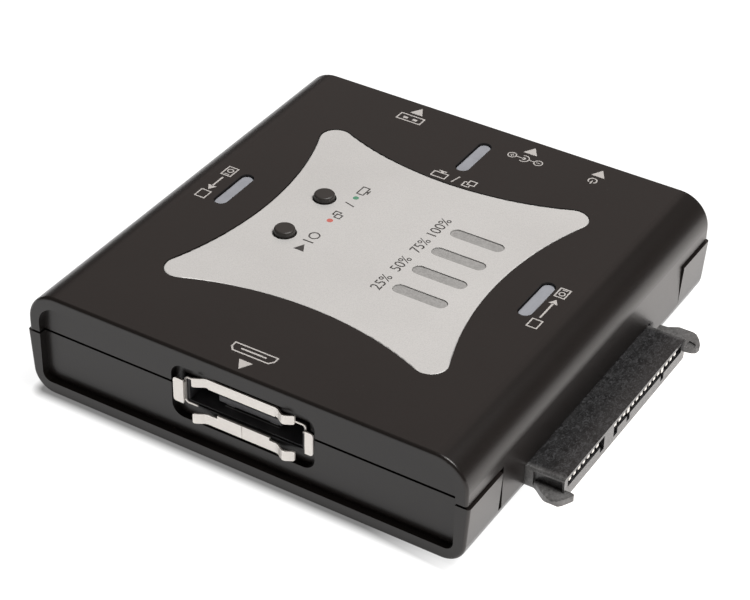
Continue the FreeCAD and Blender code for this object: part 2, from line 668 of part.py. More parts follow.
# lip segments that close the parting gap from inside
for nm, x0, x1, s in (("fl", "-30.6", "-12.2", -1), ("fr", "12.2", "30.6", -1),
                      ("bl", "-24.8", "-18.2", 1), ("bm", "-7.6", "1.4", 1), ("br", "22.6", "24.8", 1)):
    sk = sketch(b, "ls_lip_root_" + nm, "XY_Plane", Z("part_line - 1.3"))
    y0, y1 = ("inner_halfdepth - 0.9", "inner_halfdepth") if s > 0 else ("-inner_halfdepth", "0.9 - inner_halfdepth")
    rect(sk, x0, x1, y0, y1)
    pad(b, "ls_lip_root_pad_" + nm, sk, "1.3 - part_gap/2")
    sk = sketch(b, "ls_lip_" + nm, "XY_Plane", Z("part_line - part_gap/2"))
    y0, y1 = ("inner_halfdepth - 0.9", "inner_halfdepth - 0.12") if s > 0 else ("0.12 - inner_halfdepth", "0.9 - inner_halfdepth")
    rect(sk, x0, x1, y0, y1)
    pad(b, "ls_lip_pad_" + nm, sk, "1.0")
# bosses that carry the board, with screw holes and sunk seats below
sk = sketch(b, "ls_bosses", "XY_Plane", Z("skin - 0.2"))
for sx in ("", "-"):
    for sy in ("", "-"):
        circle(sk, sx + "boss_x", sy + "boss_y", "boss_rad + 0.4")
pad(b, "ls_boss_pad", sk, "pcb_low - skin + 0.2")
sk = sketch(b, "ls_screw_holes", "XY_Plane", Z("0"))
for sx in ("", "-"):
    for sy in ("", "-"):
        circle(sk, sx + "boss_x", sy + "boss_y", "screw_rad + 0.3")
pocket(b, "ls_screw_cut", sk, "pcb_low + 0.5", back=True)
sk = sketch(b, "ls_head_seats", "XY_Plane", Z("0"))
for sx in ("", "-"):
    for sy in ("", "-"):
        circle(sk, sx + "boss_x", sy + "boss_y", "screw_head + 0.25")
pocket(b, "ls_head_cut", sk, "2.3", back=True)
sk = sketch(b, "ls_foot_seats", "XY_Plane", Z("0"))
for sx in ("", "-"):
    for sy in ("", "-"):
        circle(sk, sx + "foot_x", sy + "foot_y", "foot_rad + 0.15")
pocket(b, "ls_foot_cut", sk, "foot_seat", back=True)
node(b, "lower_shell")

# ============================================================ silver plate
b = new_body("LabelPlate")
sk = sketch(b, "lp_plan", "XY_Plane", Z("plate_top - plate_thick"))
hourglass(sk, "0")
pad(b, "lp_sheet", sk, "plate_thick", first=True)
body_fillet(b, "lp_edge", "0.18",
            lambda e: lies(e, z=(16.12, 16.12)))
sk = sketch(b, "lp_bars", "XY_Plane", Z("plate_top"))
for k in (-1.5, -0.5, 0.5, 1.5):
    pill(sk, "bar_x", "%g*bar_pitch" % k, "bar_long", "bar_wide", False)
pocket(b, "lp_bar_cut", sk, "plate_thick + 0.2")
sk = sketch(b, "lp_buttons", "XY_Plane", Z("plate_top"))
circle(sk, "button_x", "start_y", "button_hole")
circle(sk, "button_x", "mode_y", "button_hole")
pocket(b, "lp_button_cut", sk, "plate_thick + 0.2")
node(b, "label_plate")

# ================================================================ buttons
# turned caps: a domed-edge head, a flange under the roof and a short stem
for nm, label, ye in (("StartCap", "start_button", "start_y"), ("ModeCap", "mode_button", "mode_y")):
    b = new_body(nm)
    sk = sketch(b, nm + "_stem", "XY_Plane", Z("13.0"))
    circle(sk, "button_x", ye, "1.2")
    pad(b, nm + "_stem_pad", sk, "0.5", first=True)
    sk = sketch(b, nm + "_flange", "XY_Plane", Z("13.4"))
    circle(sk, "button_x", ye, "2.5")
    pad(b, nm + "_flange_pad", sk, "1.2")
    sk = sketch(b, nm + "_head", "XY_Plane", Z("14.6"))
    circle(sk, "button_x", ye, "button_rad")
    pad(b, nm + "_head_pad", sk, "button_top - 14.6")
    body_fillet(b, nm + "_round", "0.3", lambda e: lies(e, z=(16.95, 16.95)))
    node(b, label)

# ======================================================= light guides
def lamp(nm, label, xe, ye, led_x):
    b = new_body(nm)
    sk = sketch(b, nm + "_flange", "XY_Plane", Z("13.95"))
    pill(sk, xe, ye, "lens_long + 0.6", "lens_wide + 0.8", True)
    pad(b, nm + "_flange_pad", sk, "0.7", first=True)
    sk = sketch(b, nm + "_window", "XY_Plane", Z("14.65"))
    pill(sk, xe, ye, "lens_long - 2*lens_gap", "lens_wide - 2*lens_gap", True)
    pad(b, nm + "_window_pad", sk, "lens_top - 14.65")
    body_fillet(b, nm + "_round", "0.25", lambda e: lies(e, z=(15.92, 15.92)))
    sk = sketch(b, nm + "_stem", "XY_Plane", Z("13.95"))
    rect(sk, "(%s) - 0.9" % xe, "(%s) + 0.9" % xe, "(%s) - 2.2" % ye, "(%s) + 2.2" % ye)
    pad(b, nm + "_stem_pad", sk, "13.95 - 8.6", back=True)
    node(b, label)


lamp("SourceLens", "source_lamp_window", "-lens_side_x", "0.1", 0)
lamp("DestLens", "destination_lamp_window", "lens_side_x", "0.1", 0)
lamp("ModeLens", "mode_lamp_window", "0", "lens_mode_y", 0)

b = new_body("ProgressGuide")
sk = sketch(b, "pg_base", "XY_Plane", Z("13.85"))
rect(sk, "bar_x - bar_long/2 - 0.6", "bar_x + bar_long/2 + 0.6", "-1.5*bar_pitch - 1.6", "1.5*bar_pitch + 1.6")
pad(b, "pg_base_pad", sk, "0.8", first=True)
sk = sketch(b, "pg_bars", "XY_Plane", Z("14.65"))
for k in (-1.5, -0.5, 0.5, 1.5):
    pill(sk, "bar_x", "%g*bar_pitch" % k, "bar_long - 2*lens_gap", "bar_wide - 2*lens_gap", False)
pad(b, "pg_bar_pad", sk, "bar_top - 14.65")
sk = sketch(b, "pg_stems", "XY_Plane", Z("13.85"))
for k in (-1.5, -0.5, 0.5, 1.5):
    rect(sk, "bar_x - 1.4", "bar_x + 1.4", "%g*bar_pitch - 0.8" % k, "%g*bar_pitch + 0.8" % k)
pad(b, "pg_stem_pad", sk, "13.85 - 8.5", back=True)
node(b, "progress_light_guide")

# ================================================================== board
b = new_body("MainBoard")
sk = sketch(b, "mb_plan", "XY_Plane", Z("pcb_low"))
rect(sk, "-pcb_halfx", "pcb_halfx", "-pcb_halfy", "pcb_halfy")
pad(b, "mb_sheet", sk, "pcb_top - pcb_low", first=True)
sk = sketch(b, "mb_holes", "XY_Plane", Z("pcb_top"))
for sx in ("", "-"):
    for sy in ("", "-"):
        circle(sk, sx + "boss_x", sy + "boss_y", "1.5")
pocket(b, "mb_hole_cut", sk, "3")
body_fillet(b, "mb_corners", "1.0", lambda e: runs(e, "z", 1) and abs(e.BoundBox.XMin) > 31 and abs(e.BoundBox.YMin) > 30.9)
node(b, "main_board")

# ========================================================== drive sockets
PF, PP = VALS["pin_first"], VALS["pin_pitch"]
PINS = [PF + k * PP for k in range(7)] + [PF + (10 + k) * PP for k in range(15)]
LONG = (7 + 3, 7 + 11)                       # P4 and P12 stand further forward

body_box = box("sock_body", "sock_step - 0.01", "sock_face", "sock_mid - sock_half", "sock_mid + sock_half", "sock_low", "sock_top")
root_box = box("sock_rootbox", "sock_root", "sock_step", "sock_mid - sock_half", "sock_mid + sock_half", "sock_low", "pcb_low")
core = fuse("sock_core", body_box, root_box)
SM, SH = VALS["sock_mid"], VALS["sock_half"]
core = round_edges("sock_core_round", core, 0.35,
                   lambda e: runs(e, "x", 5) and e.BoundBox.XMax > 38.9)


def ear(name, s, prof, low, top):
    """Guide ear: a low hooked arm with rounded edges, outside the case."""
    e0 = SM + s * SH
    zl, zt = VALS[low] + ZB, VALS[top] + ZB
    far = max(d for x, d in prof)
    w = Part.makePolygon([Vector(x, e0 + s * d, zl) for x, d in prof + [prof[0]]])
    sh = Part.Face(w).extrude(Vector(0, 0, zt - zl))
    y0, y1 = sorted((e0 - s * 1.5, e0 + s * far))
    side = Part.makeBox(10, y1 - y0, zt - zl, Vector(33.5, y0, zl))
    side = side.makeFillet(0.35, [e for e in side.Edges if e.BoundBox.XLength > 9 and abs(e.BoundBox.YMin - (e0 + s * far)) < 0.01])
    tip = Part.makeBox(VALS["ear_tip"] - 33.5, 8, zt - zl, Vector(33.5, min(e0, e0 + s * 3) - 2.5, zl))
    tip = tip.makeFillet(0.35, [e for e in tip.Edges if e.BoundBox.YLength > 5 and e.BoundBox.XMin > 40])
    sh = sh.common(side).common(tip)
    if s > 0:                                  # hollow between the hook and the end of the mouth
        v = [(38.98, 0.12), (40.25, 0.45), (40.05, 1.15), (39.0, 1.45)]
        q = Part.makePolygon([Vector(x, e0 + s * d, zl + 0.6) for x, d in v + [v[0]]])
        sh = sh.cut(Part.Face(q).extrude(Vector(0, 0, 3)))
    return made(name, sh)


ear_f = ear("sock_ear_front", -1, [(34.7, -0.6), (34.7, 0.12), (35.2, 0.4), (35.7, 0.8), (36.2, 1.2), (36.8, 1.6), (37.4, 1.87), (38.2, 1.97), (38.9, 1.87), (39.4, 1.32),
                                   (39.8, 0.58), (40.15, -0.12), (40.2, -0.36), (40.05, -0.55), (39.7, -0.62), (38.93, -0.6)], "ear_front_low", "ear_front_top")
ear_b = ear("sock_ear_back", 1, [(33.95, -0.6), (33.95, 2.62), (35.0, 2.7), (35.8, 3.15), (36.6, 3.65), (37.4, 3.78), (38.2, 3.72), (39.2, 3.3), (40.0, 2.4),
                                 (40.6, 1.4), (40.75, 0.85), (40.5, 0.35), (40.0, 0.02), (39.4, -0.1), (38.93, -0.2), (38.93, -0.6)], "ear_low", "ear_top")
tools = [
    box("sock_sig", "sock_face - slot_depth", "sock_face + 2", "sig_near", "sig_far", "slot_low", "slot_high"),
    box("sock_sig_key", "sock_face - slot_depth", "sock_face + 2", "sig_far - key_wide", "sig_far", "key_low", "slot_high"),
    box("sock_pow", "sock_face - slot_depth", "sock_face + 2", "pow_near", "pow_far", "slot_low", "slot_high"),
    box("sock_pow_key", "sock_face - slot_depth", "sock_face + 2", "pow_near", "pow_near + key_wide", "key_low", "slot_high"),
    box("sock_end_front", "34.5", "sock_face - 0.3", "sock_mid - sock_half - 1", "sock_mid - sock_half + 0.5", "2.9", "sock_top - 0.5"),
    box("sock_end_back", "34.5", "sock_face - 0.3", "sock_mid + sock_half - 0.5", "sock_mid + sock_half + 1", "2.9", "sock_top - 0.5"),
]
chan = []
for i, y in enumerate(PINS):
    chan.append(solid_box(VALS["sock_root"] - 0.5, VALS["sock_face"] - 0.04, y - 0.36, y + 0.36, 4.7, 5.38))
    if i in LONG:
        chan.append(solid_box(VALS["sock_face"] - 2.2, VALS["sock_face"] + 1, y - 0.42, y + 0.42, 2.95, 4.2))
chan = made("sock_channels", Part.makeCompound(chan))
dest = fuse("sock_housing", cut("sock_core_cut", core, *tools, chan), ear_f, ear_b)
node(dest, "destination_socket_housing")
node(turned("sock_housing_src", dest), "source_socket_housing")


def contact(y, long):
    """Bent strip: tail under the board, shank in the roof of the slot, hooked tip."""
    w = VALS["pin_wide"]
    f = VALS["sock_face"]
    d = 0.34 if long else 0.0
    low = [(26.0, 4.75), (32.35, 4.75), (33.25, 5.17), (f - 0.45, 5.17), (f - 0.28, 5.12), (f - 0.22, 4.98), (f - 0.22, 4.66 - d)]
    top = [(f - 0.06, 4.62 - d), (f - 0.06, 5.05), (f - 0.14, 5.24), (f - 0.38, 5.32), (33.2, 5.32), (32.3, 4.9), (26.0, 4.9)]
    pts = [Vector(x, y - w / 2, z + ZB) for x, z in low + top]
    return Part.Face(Part.makePolygon(pts + [pts[0]])).extrude(Vector(0, w, 0))


cs = made("sock_contacts", Part.makeCompound([contact(y, i in LONG) for i, y in enumerate(PINS)]))
node(cs, "destination_socket_contacts")
node(turned("sock_contacts_src", cs), "source_socket_contacts")

# ============================================================ eSATA socket
tube = box("es_tube", "-es_half", "es_half", "es_front", "es_back", "es_low", "es_top")
tube = round_edges("es_tube_round", tube, 0.6, lambda e: runs(e, "y", 5))
bore = box("es_bore", "-es_half + es_sheet", "es_half - es_sheet", "es_front - 1", "es_back + 1", "es_low + es_sheet", "es_top - es_sheet")
bore = round_edges("es_bore_round", bore, 0.38, lambda e: runs(e, "y", 5))
side = []
ES, EF = VALS["es_half"], VALS["es_front"]


def lip_strip(z0, z1, line, r):
    """Front lip: a strip bent in plan, its ends forward and their corners rounded."""
    t = VALS["es_sheet"]
    pts = [Vector(x, y, z0 + ZB) for x, y in line] + [Vector(x, y + t, z0 + ZB) for x, y in line[::-1]]
    s = Part.Face(Part.makePolygon(pts + [pts[0]])).extrude(Vector(0, 0, z1 - z0))
    face = Part.makeBox(line[-1][0] - line[0][0], 4, z1 - z0, Vector(line[0][0], min(y for x, y in line) - 1, z0 + ZB))
    face = face.makeFillet(r, [e for e in face.Edges if e.BoundBox.YLength > 3])
    return s.common(face)


SUNK = -HALF_D + VALS["sunk_depth"]          # plane of the sunk front face
deep = SUNK - 0.02
BENT = [(-7.3, SUNK - 0.86), (-6.9, SUNK - 0.74), (-6.3, SUNK - 0.42), (-5.85, SUNK - 0.12), (-5.45, deep), (5.0, deep), (5.45, SUNK - 0.16), (6.0, SUNK - 0.56),
        (6.4, SUNK - 0.78), (6.8, SUNK - 0.78), (7.3, SUNK - 0.52), (7.95, SUNK - 0.16)]
top_lip = lip_strip(VALS["es_top"] - 0.1, 12.2, BENT, 0.22)
low_lip = lip_strip(4.85, 6.4, BENT, 0.22)
# bends between the lips and the tube
top_web = solid_box(-5.3, 4.9, deep, EF + 0.3, VALS["es_top"] - 0.25, VALS["es_top"])
low_web = solid_box(-4.0, 4.0, deep, EF + 0.3, VALS["es_low"], VALS["es_low"] + 0.25)
low_join = solid_box(-4.0, 4.0, deep, deep + 0.25, 6.3, VALS["es_low"] + 0.25)
lips = top_lip.fuse(low_lip).fuse(top_web).fuse(low_web).fuse(low_join)
for s in (-1, 1):
    x0, x1 = (-10.72, -ES + 0.22) if s < 0 else (9.5, 10.7)
    flange = solid_box(x0, x1, SUNK - 0.2, SUNK + 0.05, 6.85, 10.6 if s < 0 else 10.42)
    flange = flange.makeFillet(0.45, [e for e in flange.Edges if e.BoundBox.YLength > 0.2 and abs(e.BoundBox.XMin) > 10.5 and e.BoundBox.XLength < 0.01])
    x0, x1 = sorted((s * (ES - 0.25), s * ES))
    web = solid_box(min(x0, ES - 0.2), x1, SUNK + 0.02, EF + 0.3, 7.3, 10.1)
    lips = lips.fuse(flange).fuse(web)
    # board tabs of the shield
    for y0 in (-29.0, -22.0):
        lips = lips.fuse(solid_box(x0, x1, y0, y0 + 1.6, 6.5, 7.4))
lips = made("es_lips", lips)
shield = fuse("es_shield_body", tube, lips)
fing = []
for s in (-1, 1):
    x = s * 3.2
    # slots either side of each spring finger in the floor of the shield
    for dx in (-0.85, 0.85):
        fing.append(solid_box(x + dx - 0.1, x + dx + 0.1, EF + 0.6, EF + 5.5, 6.4, 7.0))
    # relief windows beside the lower lip
# seam in the middle of the lower lip
fing.append(solid_box(-0.24, -0.17, SUNK - 2, EF + 0.2, 4.0, VALS["es_low"] + 0.3))
fing = made("es_slots", Part.makeCompound(fing))
shield = cut("es_shield_cut", shield, bore, fing)
node(shield, "esata_shield")

tongue = box("es_tongue", "-4.85", "4.85", "es_front + 1.1", "es_back - 4", "7.9", "9.0")
tongue = round_edges("es_tongue_round", tongue, 0.25, lambda e: lies(e, y=(-31.6, -31.6)))
block = box("es_block", "-es_half + es_sheet + 0.05", "es_half - es_sheet - 0.05", "es_back - 5", "es_back - 0.65", "es_low + es_sheet + 0.02", "es_top - es_sheet - 0.05")
block = round_edges("es_block_round", block, 0.34, lambda e: runs(e, "y", 3))
liner = box("es_liner", "-es_half + es_sheet + 0.03", "es_half - es_sheet - 0.03", "es_front + 0.3", "es_back - 4.9", "es_low + es_sheet + 0.02", "es_top - es_sheet - 0.02")
liner = round_edges("es_liner_round", liner, 0.34, lambda e: runs(e, "y", 3))
hollow = box("es_liner_room", "-es_half + es_sheet + 0.33", "es_half - es_sheet - 0.33", "es_front - 1", "es_back - 4.95", "es_low + es_sheet + 0.22", "es_top - es_sheet - 0.22")
liner = cut("es_liner_cut", liner, hollow)
rib_a = box("es_rib_a", "-3.95", "-2.75", "es_front + 1.7", "es_back - 4", "7.35", "7.95")
rib_b = box("es_rib_b", "2.75", "3.95", "es_front + 1.7", "es_back - 4", "7.35", "7.95")
ins = fuse("es_ins", tongue, block, liner, rib_a, rib_b)
grooves = made("es_grooves", Part.makeCompound(
    [solid_box(-3.81 + 1.27 * k - 0.3, -3.81 + 1.27 * k + 0.3, -31.3, -18.0, 8.86, 9.3) for k in range(7)]))
ins = cut("es_insulator", ins, grooves)
node(ins, "esata_insulator")
node(made("es_contacts", Part.makeCompound(
    [solid_box(-3.81 + 1.27 * k - 0.25, -3.81 + 1.27 * k + 0.25, -31.2, -24.7, 8.87, 9.05).fuse(
        solid_box(-3.81 + 1.27 * k - 0.25, -3.81 + 1.27 * k + 0.25, -24.9, -18.4, 8.9, 9.05)).fuse(
        solid_box(-3.81 + 1.27 * k - 0.25, -3.81 + 1.27 * k + 0.25, -18.55, -18.4, 6.5, 9.05)).fuse(
        solid_box(-3.81 + 1.27 * k - 0.25, -3.81 + 1.27 * k + 0.25, -18.55, -17.4, 6.5, 6.65)).removeSplitter()
     for k in range(7)])), "esata_contacts")

# ============================================================== USB socket
UX, UH, UZ = VALS["usb_x"], VALS["usb_half"], VALS["usb_high"]
YF = HALF_D - VALS["sunk_depth"] + 0.1       # face of the rear connectors


def mini_prism(g, y0, y1):
    """Prism of the mini-B outline, shrunk by g."""
    z0 = VALS["pcb_top"]
    pts = [(-UH + 0.5 + g, g), (UH - 0.5 - g, g), (UH - 0.4 - g, 1.0), (UH - g, 1.9), (UH - g, UZ - g), (-UH + g, UZ - g), (-UH + g, 1.9), (-UH + 0.4 + g, 1.0)]
    w = Part.makePolygon([Vector(UX + x, y0, z0 + ZB + z) for x, z in pts + [pts[0]]])
    return Part.Face(w).extrude(Vector(0, y1 - y0, 0))


us = mini_prism(0, 24.2, YF).cut(mini_prism(0.3, 25.2, YF + 1))
node(made("usb_shell_f", us), "usb_shell")
ui = mini_prism(0.32, 25.22, 27.4).fuse(solid_box(UX - 2.6, UX + 2.6, 27.0, YF - 0.9, VALS["pcb_top"] + 2.05, VALS["pcb_top"] + 2.9)).removeSplitter()
ug = Part.makeCompound([solid_box(UX + 0.8 * k - 0.22, UX + 0.8 * k + 0.22, 25.3, YF - 1.2, VALS["pcb_top"] + 1.98, VALS["pcb_top"] + 2.2) for k in (-2, -1, 0, 1, 2)])
node(made("usb_insulator_f", ui.cut(ug)), "usb_insulator")
node(made("usb_contacts_f", Part.makeCompound(
    [solid_box(UX + 0.8 * k - 0.18, UX + 0.8 * k + 0.18, 25.4, YF - 1.3, VALS["pcb_top"] + 2.0, VALS["pcb_top"] + 2.16) for k in (-2, -1, 0, 1, 2)])), "usb_contacts")

# ============================================================ power inlet
jb = box("jack_block", "jack_x - 4.4", "jack_x + 4.4", "20.4", "inner_halfdepth - 0.15", "pcb_top", "jack_z + 3.8")
jb = round_edges("jack_block_round", jb, 0.3, lambda e: runs(e, "y", 5))
jr = cyl_y("jack_ring_c", "jack_ring", "jack_x", "inner_halfdepth - 0.2", "case_depth/2 - sunk_depth + 0.1", "jack_z")
jf = fuse("jack_outer", jb, jr)
jf = round_edges("jack_ring_round", jf, 0.2, lambda e: lies(e, y=(33.25, 33.25)))
jh = cyl_y("jack_hole", "jack_bore", "jack_x", "case_depth/2 - sunk_depth + 0.1 - jack_deep", "case_depth/2", "jack_z")
jp = cyl_y("jack_pin_hole", "jack_pin + 0.22", "jack_x", "20.9", "case_depth/2 - sunk_depth + 0.1 - jack_deep + 0.5", "jack_z")
jack = cut("jack_housing", jf, jh, jp)
node(jack, "power_inlet_housing")
pin = cyl_y("jack_pin_rod", "jack_pin", "jack_x", "case_depth/2 - sunk_depth + 0.1 - jack_deep", "case_depth/2 - sunk_depth - 0.9", "jack_z")
pin = round_edges("jack_pin_tip", pin, 0.6, lambda e: lies(e, y=(32.2, 32.3)))
root = cyl_y("jack_pin_root", "jack_pin + 0.2", "jack_x", "21.0", "case_depth/2 - sunk_depth + 0.1 - jack_deep", "jack_z")
node(fuse("jack_pin_all", pin, root), "power_inlet_pin")
node(made("jack_spring", solid_box(VALS["jack_x"] - 0.9, VALS["jack_x"] + 0.9, 24.5, 29.5, VALS["jack_z"] - 2.82, VALS["jack_z"] - 2.62).fuse(
    solid_box(VALS["jack_x"] - 0.9, VALS["jack_x"] + 0.9, 29.3, 30.4, VALS["jack_z"] - 2.82, VALS["jack_z"] - 2.4)).removeSplitter()), "power_inlet_spring")

# ============================================================ power switch
SX, SZ = VALS["switch_x"], VALS["switch_z"]
frame = box("sw_frame_o", "switch_x - 4.4", "switch_x + 4.4", "27.75", "inner_halfdepth - 0.1", "pcb_top", "switch_z + 1.9")
frame = round_edges("sw_frame_r", frame, 0.3, lambda e: runs(e, "z", 2))
room = box("sw_room", "switch_x - 3.3", "switch_x + 3.3", "28.2", "inner_halfdepth - 0.4", "pcb_top + 0.3", "switch_z + 1.6")
win = box("sw_win", "switch_x - switch_travel/2 - 1.1", "switch_x + switch_travel/2 + 1.1", "inner_halfdepth - 1", "inner_halfdepth + 1", "switch_z - 1.0", "switch_z + 1.0")
frame = cut("sw_frame", frame, room, win)
node(frame, "power_switch_frame")
k0 = "switch_x - switch_travel/2"
carrier = box("sw_carrier", k0 + " - 2.1", k0 + " + 2.1", "28.7", "inner_halfdepth - 0.6", "pcb_top + 0.6", "switch_z + 1.3")
knob = box("sw_knob", k0 + " - 0.9", k0 + " + 0.9", "inner_halfdepth - 0.8", "case_depth/2 - 0.15", "switch_z - 0.85", "switch_z + 0.85")
knob = round_edges("sw_knob_round", knob, 0.25, lambda e: lies(e, y=(34.1, 34.1)))
ribs = [box("sw_rib_%d" % k, k0 + " + %g" % (0.45 * k - 0.09), k0 + " + %g" % (0.45 * k + 0.09), "case_depth/2 - 0.33", "case_depth/2", "switch_z - 1.1", "switch_z + 1.1") for k in (-1, 0, 1)]
knob = cut("sw_knob_ribs", knob, *ribs)
node(fuse("sw_slider", carrier, knob), "power_switch_knob")
node(made("sw_terms", Part.makeCompound([solid_box(SX + 2.0 * k - 0.25, SX + 2.0 * k + 0.25, 26.2, 27.75, 6.5, 6.75) for k in (-1, 0, 1)])), "power_switch_terminals")

# =========================================================== tact switches
bx, sy, my = VALS["button_x"], VALS["start_y"], VALS["mode_y"]


def tact(y):
    s = solid_box(bx - 3.0, bx + 3.0, y - 3.0, y + 3.0, 6.5, 10.0)
    s = s.makeChamfer(0.4, [e for e in s.Edges if e.BoundBox.ZLength > 3])
    return s.cut(Part.makeCylinder(1.85, 3, Vector(bx, y, 8.3 + ZB))).cut(Part.makeCylinder(2.3, 1.1, Vector(bx, y, 7.4 + ZB)))


def tact_cover(y):
    s = solid_box(bx - 2.7, bx + 2.7, y - 2.7, y + 2.7, 10.0, 10.2)
    s = s.cut(Part.makeCylinder(1.9, 1, Vector(bx, y, 9.8 + ZB)))
    for sx in (-1, 1):
        for t in (-1, 1):
            s = s.fuse(Part.makeCylinder(0.35, 0.25, Vector(bx + sx * 2.2, y + t * 2.2, 10.15 + ZB)))
    return s


def tact_pins(y):
    return [solid_box(bx + sx * 3.0 if sx > 0 else bx - 4.0, bx + 4.0 if sx > 0 else bx - 3.0, y + t * 2.25 - 0.35, y + t * 2.25 + 0.35, 6.5, 6.75)
            for sx in (-1, 1) for t in (-1, 1)]


def dome(y):
    """Snap dome: a shallow sheet cap."""
    o = Part.makeSphere(6.0, Vector(bx, y, 7.95 - 6.0 + ZB)).cut(Part.makeSphere(5.9, Vector(bx, y, 7.95 - 6.0 + ZB)))
    return o.common(Part.makeCylinder(2.1, 2, Vector(bx, y, 7.42 + ZB)))


node(made("tacts", Part.makeCompound([tact(sy), tact(my)])), "tact_switch_cases")
node(made("tact_covers", Part.makeCompound([tact_cover(sy), tact_cover(my)])), "tact_switch_covers")
node(made("tact_pins_f", Part.makeCompound(tact_pins(sy) + tact_pins(my))), "tact_switch_terminals")
node(made("tact_domes", Part.makeCompound([dome(sy), dome(my)])), "tact_switch_domes")
for nm, label, ye in (("StartPlunger", "start_switch_plunger", "start_y"), ("ModePlunger", "mode_switch_plunger", "mode_y")):
    foot = cyl(nm + "_foot", "1.0", "button_x", ye, "8.35", "9.0")
    stem = cyl(nm + "_stem", "1.7", "button_x", ye, "8.7", "13.0")
    node(fuse(nm, foot, stem), label)

# ====================================================== board electronics
def leads(cx, cy, half, n, pitch, side_axis, z=6.5):
    out = []
    for s in (-1, 1):
        for k in range(n):
            o = (k - (n - 1) / 2) * pitch
            if side_axis == "x":
                x0, x1 = sorted((cx + s * half, cx + s * (half + 1.0)))
                out.append(solid_box(x0, x1, cy + o - 0.11, cy + o + 0.11, z, z + 0.2))
            else:
                y0, y1 = sorted((cy + s * half, cy + s * (half + 1.0)))
                out.append(solid_box(cx + o - 0.11, cx + o + 0.11, y0, y1, z, z + 0.2))
    return out


chip = box("ctrl_chip", "-7.2", "4.8", "-8", "4", "pcb_top", "pcb_top + 1.4")
node(round_edges("ctrl_chip_r", chip, 0.15, lambda e: lies(e, z=(7.9, 7.9))), "controller_chip")
node(made("ctrl_leads", Part.makeCompound(leads(-1.2, -2, 6.0, 24, 0.45, "x") + leads(-1.2, -2, 6.0, 24, 0.45, "y"))), "controller_leads")
chip = box("usb_chip", "-19.5", "-12.5", "11.5", "18.5", "pcb_top", "pcb_top + 1.2")
node(round_edges("usb_chip_r", chip, 0.12, lambda e: lies(e, z=(7.7, 7.7))), "usb_bridge_chip")
node(made("usb_leads", Part.makeCompound(leads(-16, 15, 3.5, 12, 0.5, "x") + leads(-16, 15, 3.5, 12, 0.5, "y"))), "usb_bridge_leads")
chip = box("mem_chip", "-3.6", "1.6", "9.9", "13.9", "pcb_top", "pcb_top + 1.6")
node(round_edges("mem_chip_r", chip, 0.12, lambda e: lies(e, z=(8.1, 8.1))), "memory_chip")
node(made("mem_leads", Part.makeCompound(leads(-1, 11.9, 2.0, 4, 1.27, "y"))), "memory_leads")
can = made("xtal", Part.makeCompound([
    solid_box(-6.6, 4.2, -15.0, -10.6, 6.9, 10.2)]))
can = round_edges("xtal_r", can, 2.0, lambda e: runs(e, "z", 3))
can2 = box("xtal_base", "-7.0", "4.6", "-15.3", "-10.3", "pcb_top", "6.9")
can2 = round_edges("xtal_base_r", can2, 2.2, lambda e: runs(e, "z", 0.3))
node(fuse("xtal_all", can, can2), "crystal")


def inductor(x, y):
    s = solid_box(x - 3.0, x + 3.0, y - 3.0, y + 3.0, 6.5, 9.4)
    return s.makeChamfer(0.8, [e for e in s.Edges if e.BoundBox.ZLength > 2])


node(made("inductors", Part.makeCompound([inductor(19.5, 13.2), inductor(19.5, -13.5)])), "power_inductors")


def sot(x, y):
    s = solid_box(x - 3.25, x + 3.25, y - 1.75, y + 1.75, 6.55, 8.2)
    for k in (-1, 0, 1):
        s = s.fuse(solid_box(x + 2.3 * k - 0.35, x + 2.3 * k + 0.35, y - 3.3, y - 1.6, 6.5, 6.75))
    return s.fuse(solid_box(x - 1.5, x + 1.5, y + 1.6, y + 3.3, 6.5, 6.75)).removeSplitter()


node(made("regs", Part.makeCompound([sot(26.6, 11.2), sot(26.6, -11.6)])), "voltage_regulators")


def ecap(x, y):
    base = solid_box(x - 3.15, x + 3.15, y - 3.15, y + 3.15, 6.5, 7.2)
    base = base.makeChamfer(0.9, [e for e in base.Edges if e.BoundBox.ZLength > 0.5 and e.BoundBox.XMin > x])
    body = Part.makeCylinder(3.0, 4.9, Vector(x, y, 7.0 + ZB))
    body = body.makeFillet(0.35, [e for e in body.Edges if abs(e.BoundBox.ZMin - 11.9 - ZB) < 0.01 and e.BoundBox.XLength > 5])
    return base.fuse(body).removeSplitter()


node(made("ecaps", Part.makeCompound([ecap(19.5, 20.8), ecap(-24.5, 19.5), ecap(-20.5, -20.5), ecap(20.5, -21.5)])), "electrolytic_capacitors")
small = []
for x, y, a in ((-7, 7.5, 0), (-4.5, 7.5, 0), (-2, 7.5, 0), (0.5, 7.5, 0), (3, 7.5, 0), (-9.0, -12.5, 1), (-9.0, -10.0, 1), (6.6, -12.5, 1),
                (6.6, 15, 1), (6.6, 12.5, 1), (-22, 10.5, 0), (-22, 8.8, 0), (-20.2, -7, 1), (-20.2, -3, 1), (-20.2, 1, 1), (14.8, 15, 1), (14.8, -16, 1),
                (-13.5, -16.0, 0), (-13.5, -13.8, 0), (25, 6.3, 0), (25, -6.8, 0)):
    w, d = (1.6, 0.8) if a == 0 else (0.8, 1.6)
    small.append(solid_box(x - w / 2, x + w / 2, y - d / 2, y + d / 2, 6.5, 7.3))
node(made("ccaps", Part.makeCompound(small)), "ceramic_capacitors")
small = []
